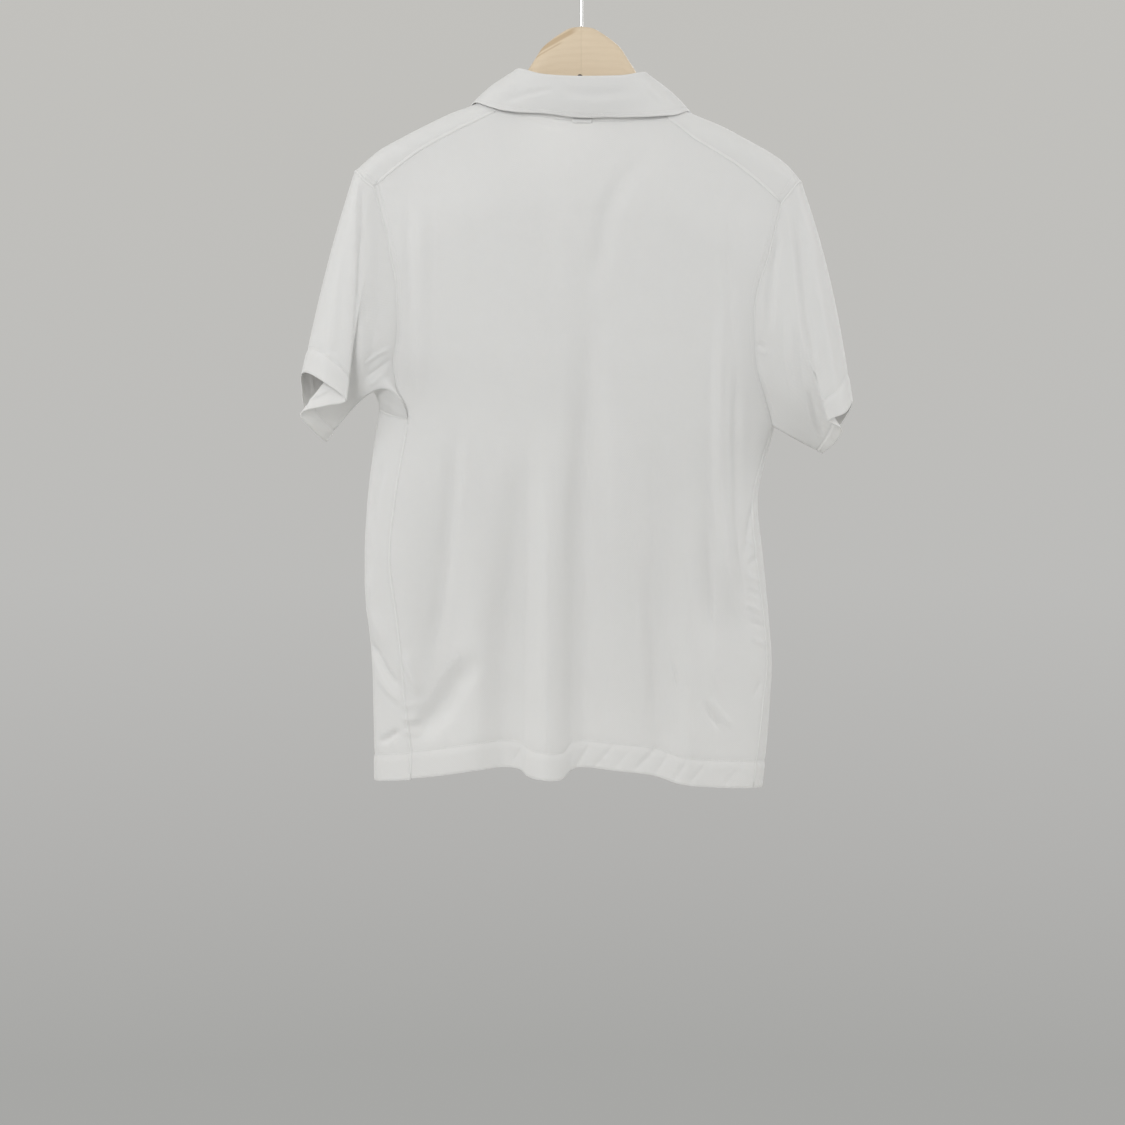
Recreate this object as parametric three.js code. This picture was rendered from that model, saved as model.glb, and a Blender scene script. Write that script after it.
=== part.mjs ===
// A polo shirt hung on a wooden hanger, in millimetres, +Z up.
// The back of the shirt faces -Y, +X is to the right of a viewer behind it,
// and the origin is the inside of the hook's crown, where a rail carries it.
import * as THREE from 'three';

// Driving dimensions of the cloth
const WALL = 1.6;
const SEAM_GAP = 0.6;
const LAYER_GAP = 0.4;
const HEM_HEIGHT = 28;
const HEM_RISE = 0.7;

const UNDERARM = { share: 0.68, trim: 1.2 };
const SHOULDER_TRIM = 0.45;

// How many spans each panel has
const COLUMNS = { shoulder: 9, neck: 14 };
const ROWS = { body: 14, backArm: 9, frontArm: 10, over: 5, sleeve: 8 };

// Girth of the body: edges, and how far back and front hang from the hanger's plane
const BODY = [
  { z: -885, left: -218, right: 190, back: 54, front: 60, seamLeft: 46, seamRight: 12 },
  { z: -834, left: -219, right: 196, back: 52, front: 58, seamLeft: 39, seamRight: 10 },
  { z: -791, left: -220, right: 199, back: 50, front: 57, seamLeft: 35, seamRight: 8 },
  { z: -754, left: -221, right: 201, back: 50, front: 57, seamLeft: 33, seamRight: 6 },
  { z: -707, left: -225, right: 198, back: 50, front: 58, seamLeft: 32, seamRight: 6 },
  { z: -643, left: -229, right: 192, back: 52, front: 60, seamLeft: 28, seamRight: 8 },
  { z: -579, left: -226, right: 186, back: 54, front: 61, seamLeft: 31, seamRight: 6 },
  { z: -537, left: -221, right: 194, back: 55, front: 61, seamLeft: 33, seamRight: 4 },
  { z: -505, left: -217, right: 203, back: 55, front: 60, seamLeft: 34.5, seamRight: 3 },
  { z: -473, left: -214, right: 206, back: 55, front: 60, seamLeft: 35, seamRight: 3 },
  { z: -425, left: -236, right: 222, back: 55, front: 59, seamLeft: 35, seamRight: 3 },
  { z: -330, left: -246, right: 238, back: 52, front: 56, seamLeft: 35, seamRight: 3 },
  { z: -150, left: -250, right: 244, back: 46, front: 50, seamLeft: 35, seamRight: 3 },
];
const EDGE_POWER = 0.8;
const DEPTH_POWER = 0.9;
const EDGE_CALM = 1.6;

// Ridge of the shoulders, and how far behind it the shoulder seam lies
const RIDGE = [
  { x: -240, z: -233, drop: 45 },
  { x: -214, z: -210.5, drop: 38 },
  { x: -192, z: -198, drop: 32 },
  { x: -171, z: -187, drop: 27.5 },
  { x: -139, z: -171.5, drop: 25 },
  { x: -116, z: -163, drop: 22 },
  { x: -88, z: -151, drop: 22 },
  { x: 0, z: -141, drop: 20 },
  { x: 88, z: -157, drop: 23 },
  { x: 117, z: -171.5, drop: 29 },
  { x: 147, z: -184, drop: 35 },
  { x: 168, z: -195, drop: 38 },
  { x: 200, z: -213, drop: 47 },
  { x: 218, z: -226.5, drop: 55 },
  { x: 233, z: -244.5, drop: 58 },
];
const RIDGE_RADIUS = 24;
const SHOULDER_REACH = 150;

// Armholes: the back from underarm to shoulder seam, the front from underarm to ridge.
// A point marked wrap lies on the cloth that goes round the side of the body.
const ARMHOLE = {
  left: {
    back: [
      { x: -181, z: -497 },
      { x: -193, z: -470 },
      { x: -193, z: -415 },
      { x: -193, z: -362 },
      { x: -199, z: -328 },
      { x: -205, z: -299 },
      { x: -212, z: -274 },
      { x: -218, z: -253 },
    ],
    front: [
      { x: -181, z: -497, wrap: 'back' },
      { x: -214, z: -480, wrap: 'edge' },
      { x: -206, z: -452 },
      { x: -200, z: -400 },
      { x: -204, z: -345 },
      { x: -214, z: -300 },
      { x: -228, z: -262 },
      { x: -234, z: -240 },
    ],
  },
  right: {
    back: [
      { x: 201, z: -501 },
      { x: 192, z: -471 },
      { x: 183, z: -440 },
      { x: 180, z: -392 },
      { x: 184, z: -360 },
      { x: 193, z: -333 },
      { x: 201, z: -304 },
      { x: 209, z: -272 },
    ],
    front: [
      { x: 201, z: -501, wrap: 'back' },
      { x: 203, z: -478, wrap: 'edge' },
      { x: 196, z: -452 },
      { x: 190, z: -400 },
      { x: 194, z: -350 },
      { x: 206, z: -305 },
      { x: 220, z: -270 },
      { x: 227, z: -252 },
    ],
  },
};

// Rows over the ridge, from the front to the shoulder seam: x at the armhole and at the neck
const OVER = {
  front: 26,
  between: 13,
  left: [-234, -239, -240, -237, -229, -218],
  right: [227, 232, 233, 230, 220, 209],
  neck: [100, 99, 97, 95, 91, 88],
  belowNeck: 24,
  turnColumns: 3,
};

// Front neckline from the shoulder seam to the middle, as distance from the ridge
const FRONT_NECK = [
  { x: 88, fromRidge: -30 },
  { x: 93, fromRidge: 0 },
  { x: 88, fromRidge: 26 },
  { x: 72, fromRidge: 52 },
  { x: 44, fromRidge: 74 },
  { x: 0, fromRidge: 88 },
];
const BACK_NECK = { half: 88, dip: 8 };

// Soft folds: middle at hem and at top, half width, depth outward, and where they fade
const FOLD_FADE = { top: 220, bottom: 80 };
const BACK_FOLDS = [
  { low: -36, high: -32, half: 26, depth: 14, bottom: -960, top: -470 },
  { low: -80, high: -66, half: 30, depth: -6, bottom: -960, top: -520 },
  { low: 2, high: 8, half: 27, depth: -8, bottom: -960, top: -360 },
  { low: -148, high: -140, half: 42, depth: -6, bottom: -860, top: -520 },
  { low: 44, high: 44, half: 32, depth: 5, bottom: -960, top: -420 },
  { low: 86, high: 78, half: 30, depth: -7, bottom: -900, top: -480 },
  { low: 116, high: 112, half: 26, depth: 4, bottom: -900, top: -560 },
  { low: 138, high: 130, half: 22, depth: -5, bottom: -760, top: -520 },
  { low: 154, high: 152, half: 26, depth: 6, bottom: -720, top: -330 },
  { low: -112, high: -108, half: 32, depth: 4, bottom: -900, top: -520 },
];
const FRONT_FOLDS = [
  { low: -150, high: -130, half: 34, depth: 12, bottom: -960, top: -480 },
  { low: -92, high: -84, half: 32, depth: -9, bottom: -960, top: -520 },
  { low: -40, high: -46, half: 30, depth: 10, bottom: -960, top: -560 },
  { low: 22, high: 16, half: 34, depth: -8, bottom: -960, top: -560 },
  { low: 80, high: 74, half: 32, depth: 13, bottom: -960, top: -500 },
  { low: 136, high: 124, half: 32, depth: -8, bottom: -940, top: -500 },
];

// Lower edge of the hem behind and in front
const HEM = [
  { x: -218, back: -875, front: -876 },
  { x: -150, back: -868, front: -870 },
  { x: -106, back: -861, front: -864 },
  { x: -82, back: -858.5, front: -861 },
  { x: -64, back: -860, front: -860 },
  { x: -55, back: -867, front: -860 },
  { x: -40, back: -870, front: -861 },
  { x: -20, back: -870, front: -862 },
  { x: -11, back: -861, front: -862 },
  { x: 2, back: -858.5, front: -861 },
  { x: 42, back: -862, front: -862 },
  { x: 76, back: -867, front: -866 },
  { x: 104, back: -876, front: -872 },
  { x: 140, back: -880, front: -878 },
  { x: 190, back: -883, front: -883 },
];

const HEM_WIDTH = 390;
const WAVE_FADE = 3;

// Cuffs, from the underarm seam round by the back and the outer tip
const CUFF = {
  left: [
    { x: -272, y: 4, z: -517 },
    { x: -284, y: -22, z: -505 },
    { x: -293.5, y: -38, z: -491 },
    { x: -267, y: -50, z: -484 },
    { x: -244, y: -56, z: -479 },
    { x: -268, y: -55, z: -458.5 },
    { x: -290.5, y: -28, z: -447.5 },
    { x: -297, y: 12, z: -462 },
    { x: -297, y: 44, z: -484 },
    { x: -284, y: 44, z: -504 },
  ],
  right: [
    { x: 256, y: 4, z: -529 },
    { x: 268, y: -20, z: -518 },
    { x: 271, y: -40, z: -507 },
    { x: 256, y: -50, z: -499 },
    { x: 271, y: -48, z: -492 },
    { x: 284, y: -18, z: -477 },
    { x: 285, y: 18, z: -485 },
    { x: 278, y: 48, z: -501 },
    { x: 266, y: 40, z: -518 },
  ],
};
const SLEEVE_FULLNESS = { left: 9, right: 10 };
const SLEEVE_LEAN = 0.45;
const UNDERARM_PUSH = { left: { y: -14, z: 38 }, right: { y: -6, z: -2 }, skew: 0.65 };

// Collar from its middle behind (at 0) to its front end (at 1): the line it folds on, and
// its free edge, as a place on the body by the distance from the ridge, in front if positive
const FOLD_LINE = [
  { at: -0.2, x: -38, y: -32, z: -138.5 },
  { at: 0, x: 0, y: -35, z: -141.5 },
  { at: 0.2, x: 38, y: -32, z: -138.5 },
  { at: 0.38, x: 60, y: -21, z: -131 },
  { at: 0.5, x: 66, y: -9, z: -128.5 },
  { at: 0.6, x: 67, y: 6, z: -131 },
  { at: 0.72, x: 58, y: 26, z: -146 },
  { at: 0.86, x: 36, y: 44, z: -174 },
  { at: 1, x: 4, y: 54, z: -200 },
];
const FREE_EDGE = [
  { at: -0.2, x: -42, fromRidge: -49 },
  { at: 0, x: 0, fromRidge: -56.5 },
  { at: 0.2, x: 42, fromRidge: -49 },
  { at: 0.36, x: 78, fromRidge: -41 },
  { at: 0.48, x: 102, fromRidge: -25 },
  { at: 0.56, x: 116, fromRidge: 0 },
  { at: 0.66, x: 118, fromRidge: 30 },
  { at: 0.78, x: 106, fromRidge: 64 },
  { at: 0.9, x: 80, fromRidge: 104 },
  { at: 1, x: 50, fromRidge: 138 },
];
const COLLAR = {
  stand: 2,
  fall: 4,
  roll: 3,
  rollRadius: 2.2,
  belly: 3,
  lift: 4.5,
  tilt: 4,
  rootTrim: 0.9,
};

// Front opening and the tab below the collar
const PLACKET = { half: 16, rows: 10, thickness: 1.6, easing: 0.2 };
const TOP_INSET = 0.05;
const BUTTON = { radius: 5.5, height: 2.2, sides: 20, seat: 0.7, fromNeck: [20, 72, 124] };
const NECK_TAB = { left: -10, right: 11, from: 0.04, rows: 0.3, thickness: 1.2 };

// Wooden hanger, as sections from its middle to the end of an arm
const HANGER = [
  { x: 0, top: -81, height: 81, half: 12 },
  { x: 12, top: -82.5, height: 80, half: 12 },
  { x: 22, top: -87, height: 76, half: 12 },
  { x: 33, top: -94, height: 69, half: 12.3 },
  { x: 42, top: -103, height: 61, half: 12.6 },
  { x: 49, top: -114, height: 53, half: 13 },
  { x: 55, top: -122.5, height: 48, half: 13 },
  { x: 62, top: -133, height: 44, half: 13 },
  { x: 74, top: -150, height: 40, half: 13 },
];
const HANGER_ARM = {
  from: 88,
  to: 214,
  height: 38,
  endHeight: 26,
  half: 13,
  endHalf: 14,
  rings: 8,
};
const HANGER_TIP = { length: 9, rings: 3, blunt: 0.3 };
const HANGER_SIDES = 16;
const HANGER_POWER = 1;
const HALF_GAP = 0.15;
const RIDGE_CLEARANCE = 0.9;
const NECK_DIP = { depth: 5, length: 28 };
const TIP_DIP = { depth: 1.6, length: 26 };
const HOOK = {
  wire: 2,
  inner: 21,
  shaftTop: -56,
  shaftBottom: -80.6,
  joins: -60,
  ends: 205,
  bendReach: 7,
  bendPoints: 5,
  crownPoints: 20,
  quarterSides: 5,
  steps: 44,
};

const CLOTH = { color: 0xe6e9e9, roughness: 0.75, metalness: 0 };
const WOOD = { color: 0xd9c0a0, roughness: 0.6, metalness: 0 };
const BUTTON_WHITE = { color: 0xe9eaea, roughness: 0.4, metalness: 0 };
const CHROME = { color: 0xd8dadc, roughness: 0.2, metalness: 1 };

const QUARTER = Math.PI / 2;
const FINE = 240;

const mix = (a, b, t) => a + (b - a) * t;
const clamp = (value, low, high) => Math.min(high, Math.max(low, value));
const ease = (t) => {
  const s = clamp(t, 0, 1);
  return s * s * (3 - 2 * s);
};
const signedPower = (value, power) => Math.sign(value) * Math.abs(value) ** power;

// Value of one column of a table, read smoothly at a place along its key column
function read(table, key, place, column) {
  const last = table.length - 1;
  const slope = (i) => {
    const before = table[Math.max(i - 1, 0)];
    const after = table[Math.min(i + 1, last)];
    return (after[column] - before[column]) / (after[key] - before[key]);
  };
  let i = 0;
  while (i < last - 1 && table[i + 1][key] < place) {
    i += 1;
  }
  const span = table[i + 1][key] - table[i][key];
  const t = clamp((place - table[i][key]) / span, 0, 1);
  const value = mix(table[i][column], table[i + 1][column], ease(t));
  const lift = t * (1 - t) * span;
  return value + lift * (slope(i) * (1 - t) - slope(i + 1) * t);
}

// Parameters that divide a curve into spans of equal length
function spread(curve, from, to, spans) {
  const lengths = [0];
  let before = curve(from);
  for (let i = 1; i <= FINE; i += 1) {
    const point = curve(mix(from, to, i / FINE));
    lengths.push(lengths[i - 1] + point.distanceTo(before));
    before = point;
  }
  const result = [];
  let i = 0;
  for (let k = 0; k <= spans; k += 1) {
    const target = (lengths[FINE] * k) / spans;
    while (i < FINE - 1 && lengths[i + 1] < target) {
      i += 1;
    }
    const part = (target - lengths[i]) / (lengths[i + 1] - lengths[i]);
    result.push(mix(from, to, (i + clamp(part, 0, 1)) / FINE));
  }
  return result;
}

// Sum of the soft folds of one side at a point
function foldDepth(folds, x, z) {
  let sum = 0;
  for (const fold of folds) {
    const up = clamp((z - HEM[0].back) / (fold.top - HEM[0].back), 0, 1);
    const across = Math.abs(x - mix(fold.low, fold.high, up)) / fold.half;
    if (across < 1 && z < fold.top) {
      const rise = ease((fold.top - z) / FOLD_FADE.top)
        * ease((z - fold.bottom) / FOLD_FADE.bottom);
      sum += fold.depth * rise * ease(1 - across);
    }
  }
  return sum;
}

// A point of the body cloth. The turn goes from the right edge by the front to the left
// edge and on by the back. The level is the height of the point, and from the curve of the
// ridge on it is the length along the cloth over the shoulder.
const ARC_RISE = RIDGE_RADIUS * (QUARTER - 1);

function ridgeLevel(x) {
  return read(RIDGE, 'x', x, 'z') + ARC_RISE;
}

function girth(level) {
  const left = read(BODY, 'z', level, 'left');
  const right = read(BODY, 'z', level, 'right');
  return { middle: (left + right) / 2, half: (right - left) / 2 };
}

function bodyPoint({ turn, level }) {
  const { middle, half } = girth(level);
  const x = middle + half * signedPower(Math.cos(turn), EDGE_POWER);
  const isFront = Math.sin(turn) >= 0;
  const side = isFront ? 1 : -1;
  const fromRidge = ridgeLevel(x) - level;
  const over = clamp(fromRidge / RIDGE_RADIUS, -QUARTER, QUARTER);
  const deep = read(BODY, 'z', level, isFront ? 'front' : 'back');
  const lens = deep * Math.abs(Math.sin(turn)) ** DEPTH_POWER;
  const settled = ease(Math.abs(fromRidge) / SHOULDER_REACH);
  const edge = ease(Math.abs(Math.sin(turn)) * EDGE_CALM);
  const folds = foldDepth(isFront ? FRONT_FOLDS : BACK_FOLDS, x, level) * settled * edge;
  const depth = mix(RIDGE_RADIUS, lens, settled) + folds;
  const drop = RIDGE_RADIUS * (1 - Math.cos(over));
  const beyond = Math.max(0, Math.abs(fromRidge) - RIDGE_RADIUS * QUARTER);
  const z = read(RIDGE, 'x', x, 'z') - drop - beyond;
  return new THREE.Vector3(x, side * depth * Math.sin(over), z);
}

// The turn at which the body has a given x at a level, in front or behind
function turnAt(x, level, behind) {
  const { middle, half } = girth(level);
  const ratio = clamp((x - middle) / half, -1, 1);
  const turn = Math.acos(clamp(signedPower(ratio, 1 / EDGE_POWER), -1, 1));
  return behind ? 2 * Math.PI - turn : turn;
}

// Armholes as turn and level
function sideSeam(side, level) {
  const { middle, half } = girth(level);
  if (side === 'left') {
    const x = middle - half + read(BODY, 'z', level, 'seamLeft');
    return turnAt(x, level, true);
  }
  const x = middle + half - read(BODY, 'z', level, 'seamRight');
  return turnAt(x, level, true) - 2 * Math.PI;
}

function places(side, rows, isBack) {
  return rows.map((row) => {
    const behind = isBack || row.wrap === 'back';
    let turn = turnAt(row.x, row.z, behind);
    if (row.wrap === 'edge') {
      turn = side === 'left' ? Math.PI : 0;
    }
    if (side === 'right' && !isBack && behind) {
      turn -= 2 * Math.PI;
    }
    return { turn, level: row.z };
  });
}

function smooth(list, t) {
  const scaled = clamp(t, 0, 1) * (list.length - 1);
  const i = Math.min(Math.floor(scaled), list.length - 2);
  const before = list[Math.max(i - 1, 0)];
  const after = list[Math.min(i + 2, list.length - 1)];
  const result = {};
  for (const key of ['turn', 'level']) {
    const a = list[i][key];
    const b = list[i + 1][key];
    const s = scaled - i;
    const slopeA = (b - before[key]) / (i > 0 ? 2 : 1);
    const slopeB = (after[key] - a) / (i < list.length - 2 ? 2 : 1);
    const eased = ease(s);
    result[key] = mix(a, b, eased) + s * (1 - s) * (slopeA * (1 - s) - slopeB * s);
  }
  return result;
}

function sampled(list, spans) {
  const curve = (t) => bodyPoint(smooth(list, t));
  return spread(curve, 0, 1, spans).map((t) => smooth(list, t));
}

// Shoulder seam behind the ridge: its level on the back and on the front panel
function seamLevels(x) {
  const ridge = read(RIDGE, 'x', x, 'z');
  const drop = read(RIDGE, 'x', x, 'drop');
  const round = RIDGE_RADIUS * Math.acos(clamp(1 - drop / RIDGE_RADIUS, 0, 1));
  const path = round + Math.max(0, drop - RIDGE_RADIUS);
  const top = ridge + ARC_RISE;
  return { back: top - path, front: top + path, ridge: top };
}

// A place on one of the rows over the ridge
function overPlace(x, k) {
  const { ridge, front } = seamLevels(x);
  const path = front - ridge;
  const half = (OVER.between + path) / 2;
  const fromRidge = [OVER.front, OVER.between, 0, -OVER.between, -half, -path][k];
  const level = ridge - fromRidge;
  return { turn: turnAt(x, level, false), level };
}

// Outward direction at the shoulder seam, the same for both panels
function seamNormal(x) {
  const { ridge, front } = seamLevels(x);
  const over = Math.min((front - ridge) / RIDGE_RADIUS, QUARTER);
  const slope = (read(RIDGE, 'x', x + 1, 'z') - read(RIDGE, 'x', x - 1, 'z')) / 2;
  return new THREE.Vector3(-slope * Math.cos(over), -Math.sin(over), Math.cos(over)).normalize();
}

function makeArmhole(side) {
  const rows = ARMHOLE[side];
  const back = sampled(places(side, rows.back, true), ROWS.backArm);
  const end = rows.back[rows.back.length - 1];
  const levels = seamLevels(end.x);
  back[ROWS.backArm].level = levels.back;
  const frontRows = rows.front.map((row) => ({ ...row }));
  const crest = frontRows[frontRows.length - 1];
  crest.z = ridgeLevel(crest.x) - OVER.front;
  const front = sampled(places(side, frontRows, false), ROWS.frontArm);
  const over = OVER[side].map((x, k) => overPlace(x, k)).slice(1);
  return { back, front, over };
}

const armholes = { left: makeArmhole('left'), right: makeArmhole('right') };

// Direction out of the armhole at a share of the way round it from the underarm
function roundOut(side, share) {
  const lean = side === 'left' ? -SLEEVE_LEAN : SLEEVE_LEAN;
  const angle = share * 2 * Math.PI;
  return new THREE.Vector3(lean, -Math.sin(angle), -Math.cos(angle)).normalize();
}

// Outward direction shared by the panels and the collar along the neck
function neckMitre(place) {
  const point = bodyPoint(place);
  const over = clamp((ridgeLevel(point.x) - place.level) / RIDGE_RADIUS, -QUARTER, QUARTER);
  return new THREE.Vector3(point.x, point.y, 0).normalize()
    .add(new THREE.Vector3(0, Math.sin(over), Math.cos(over))).normalize();
}

// Top boundaries of the back and the front, as turn and level for each column
const SPANS = 2 * COLUMNS.shoulder + COLUMNS.neck;

function shoulderColumns(side, behind, pick) {
  const end = ARMHOLE[side].back[ARMHOLE[side].back.length - 1].x;
  const sign = side === 'left' ? -1 : 1;
  const neck = sign * BACK_NECK.half;
  const columns = [];
  for (let k = 0; k <= COLUMNS.shoulder; k += 1) {
    const x = mix(end, neck, k / COLUMNS.shoulder);
    const level = pick(x);
    columns.push({ turn: turnAt(x, level, behind), level });
  }
  return columns;
}

function backTop() {
  const left = shoulderColumns('left', true, (x) => seamLevels(x).back);
  const right = shoulderColumns('right', true, (x) => seamLevels(x).back).reverse();
  const neck = [];
  for (let k = 1; k < COLUMNS.neck; k += 1) {
    const x = mix(-BACK_NECK.half, BACK_NECK.half, k / COLUMNS.neck);
    const ends = mix(left[COLUMNS.shoulder].level, right[0].level, k / COLUMNS.neck);
    const middle = (x / BACK_NECK.half) ** 2;
    const level = ends - BACK_NECK.dip * (1 - middle);
    neck.push({ turn: turnAt(x, level, true), level });
  }
  return [...left, ...neck, ...right];
}

function neckPlace(side, t) {
  const sign = side === 'left' ? -1 : 1;
  const index = t * (FRONT_NECK.length - 1);
  const rows = FRONT_NECK.map((row, i) => ({ at: i, ...row }));
  rows[0].fromRidge = seamLevels(sign * rows[0].x).ridge - seamLevels(sign * rows[0].x).front;
  const x = sign * read(rows, 'at', index, 'x');
  const level = ridgeLevel(x) - read(rows, 'at', index, 'fromRidge');
  return { turn: turnAt(x, level, false), level };
}

function frontTop() {
  const left = shoulderColumns('left', false, (x) => seamLevels(x).front);
  const right = shoulderColumns('right', false, (x) => seamLevels(x).front).reverse();
  const half = COLUMNS.neck / 2;
  const neck = [];
  for (const side of ['left', 'right']) {
    const curve = (t) => bodyPoint(neckPlace(side, t));
    const stops = spread(curve, 0, 1, half).map((t) => neckPlace(side, t));
    neck.push(side === 'left' ? stops.slice(1) : stops.slice(1, half).reverse());
  }
  return [...left, ...neck[0], ...neck[1], ...right];
}

// Rows of the front panel over the ridge and below the neckline, the lowest first
function overRows(top) {
  const { shoulder } = COLUMNS;
  const rows = [];
  for (let k = 0; k <= ROWS.over; k += 1) {
    const row = top.map((place, j) => {
      const side = j < SPANS / 2 ? 'left' : 'right';
      const sign = side === 'left' ? -1 : 1;
      const fromEnd = Math.min(j, SPANS - j);
      if (fromEnd <= shoulder) {
        const x = mix(OVER[side][k], sign * OVER.neck[k], fromEnd / shoulder);
        return overPlace(x, k);
      }
      const { x } = bodyPoint(place);
      const round = ease((fromEnd - shoulder) / OVER.turnColumns);
      const levels = seamLevels(sign * BACK_NECK.half);
      const below = mix(levels.front - levels.ridge + OVER.front, OVER.belowNeck, round);
      const wide = mix(OVER.neck[0] / OVER.neck[ROWS.over], 1, round);
      const share = 1 - k / ROWS.over;
      const level = place.level - below * share;
      return { turn: turnAt(x * mix(1, wide, share), level, false), level };
    });
    rows.push(row);
  }
  return rows;
}

// Rows of a panel from the hem up, as places on the body
function hemLevel(x, column) {
  return read(HEM, 'x', x, column);
}

function lowRows(isBack) {
  const column = isBack ? 'back' : 'front';
  const rows = [];
  const endLeft = armholes.left.back[0];
  const endRight = armholes.right.back[0];
  for (let i = 0; i <= ROWS.body; i += 1) {
    const up = i < 2 ? 0 : (i - 1) / (ROWS.body - 1);
    const leftLevel = mix(HEM[0].front + HEM_HEIGHT, endLeft.level, up);
    const rightLevel = mix(HEM[HEM.length - 1].front + HEM_HEIGHT, endRight.level, up);
    const middle = (leftLevel + rightLevel) / 2;
    const from = i === ROWS.body ? endLeft.turn : sideSeam('left', leftLevel);
    let to = i === ROWS.body ? endRight.turn - 2 * Math.PI : sideSeam('right', rightLevel);
    to = isBack ? to + 2 * Math.PI : to;
    const place = (turn) => {
      const { x } = bodyPoint({ turn, level: middle });
      const fromSeam = x - bodyPoint({ turn: from, level: leftLevel }).x;
      const share = clamp(fromSeam / HEM_WIDTH, 0, 1);
      const wave = hemLevel(x, column) + HEM_HEIGHT;
      const straight = mix(HEM[0].front, HEM[HEM.length - 1].front, share) + HEM_HEIGHT;
      const level = mix(leftLevel, rightLevel, share) + (wave - straight) * (1 - ease(up * WAVE_FADE));
      return { turn, level: i === 0 ? level - HEM_HEIGHT : level };
    };
    const stops = spread((turn) => bodyPoint(place(turn)), from, to, SPANS);
    rows.push(stops.map(place));
  }
  return rows;
}

// Rows between two boundary rows, with given ends
function between(low, high, leftEnds, rightEnds) {
  const count = leftEnds.length - 1;
  const rows = [];
  const last = SPANS;
  for (let i = 1; i <= count; i += 1) {
    const up = i / count;
    const row = [];
    for (let j = 0; j <= last; j += 1) {
      const place = {};
      for (const key of ['turn', 'level']) {
        const lowSpan = low[last][key] - low[0][key];
        const share = key === 'turn' ? (low[j][key] - low[0][key]) / lowSpan : j / last;
        const ends = mix(leftEnds[i][key], rightEnds[i][key], share);
        const lowEnds = mix(low[0][key], low[last][key], share);
        const highEnds = mix(high[0][key], high[last][key], share);
        place[key] = ends + mix(low[j][key] - lowEnds, high[j][key] - highEnds, up);
      }
      row.push(place);
    }
    rows.push(row);
  }
  return rows;
}

const backTopPlaces = backTop();
const frontTopPlaces = frontTop();

function backRows() {
  const low = lowRows(true);
  return [...low, ...between(low[ROWS.body], backTopPlaces, armholes.left.back, armholes.right.back)];
}

function frontRows() {
  const low = lowRows(false);
  const over = overRows(frontTopPlaces);
  const lower = between(low[ROWS.body], over[0], armholes.left.front, armholes.right.front);
  return [...low, ...lower, ...over.slice(1)];
}

// A closed wall round a grid of points. Edges are pulled back for the seams, and given
// directions replace the grid's own at its edges.
function normalsOf(grid, flip) {
  const rows = grid.length - 1;
  const columns = grid[0].length - 1;
  return grid.map((row, i) => row.map((point, j) => {
    const along = new THREE.Vector3().subVectors(
      row[Math.min(j + 1, columns)], row[Math.max(j - 1, 0)]);
    const up = new THREE.Vector3().subVectors(
      grid[Math.min(i + 1, rows)][j], grid[Math.max(i - 1, 0)][j]);
    return along.cross(up).normalize().multiplyScalar(flip ? -1 : 1);
  }));
}

function pullBack(grid, trims) {
  const rows = grid.length - 1;
  const columns = grid[0].length - 1;
  const result = grid.map((row) => row.map((point) => point.clone()));
  const move = (i, j, towards, before, after, by) => {
    const along = new THREE.Vector3().subVectors(after, before).normalize();
    const step = new THREE.Vector3().subVectors(towards, grid[i][j]);
    step.addScaledVector(along, -step.dot(along)).normalize();
    result[i][j].addScaledVector(step, by);
  };
  const size = (trim, k) => (typeof trim === 'function' ? trim(k) : trim);
  for (let i = 0; i <= rows; i += 1) {
    const before = grid[Math.max(i - 1, 0)];
    const after = grid[Math.min(i + 1, rows)];
    move(i, 0, grid[i][1], before[0], after[0], size(trims.left, i));
    move(i, columns, grid[i][columns - 1], before[columns], after[columns],
      size(trims.right, i));
  }
  for (let j = 0; j <= columns; j += 1) {
    const before = Math.max(j - 1, 0);
    const after = Math.min(j + 1, columns);
    move(0, j, grid[1][j], grid[0][before], grid[0][after], size(trims.bottom, j));
    move(rows, j, grid[rows - 1][j], grid[rows][before], grid[rows][after],
      size(trims.top, j));
  }
  return result;
}

const NO_TRIM = { left: 0, right: 0, top: 0, bottom: 0 };

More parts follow.
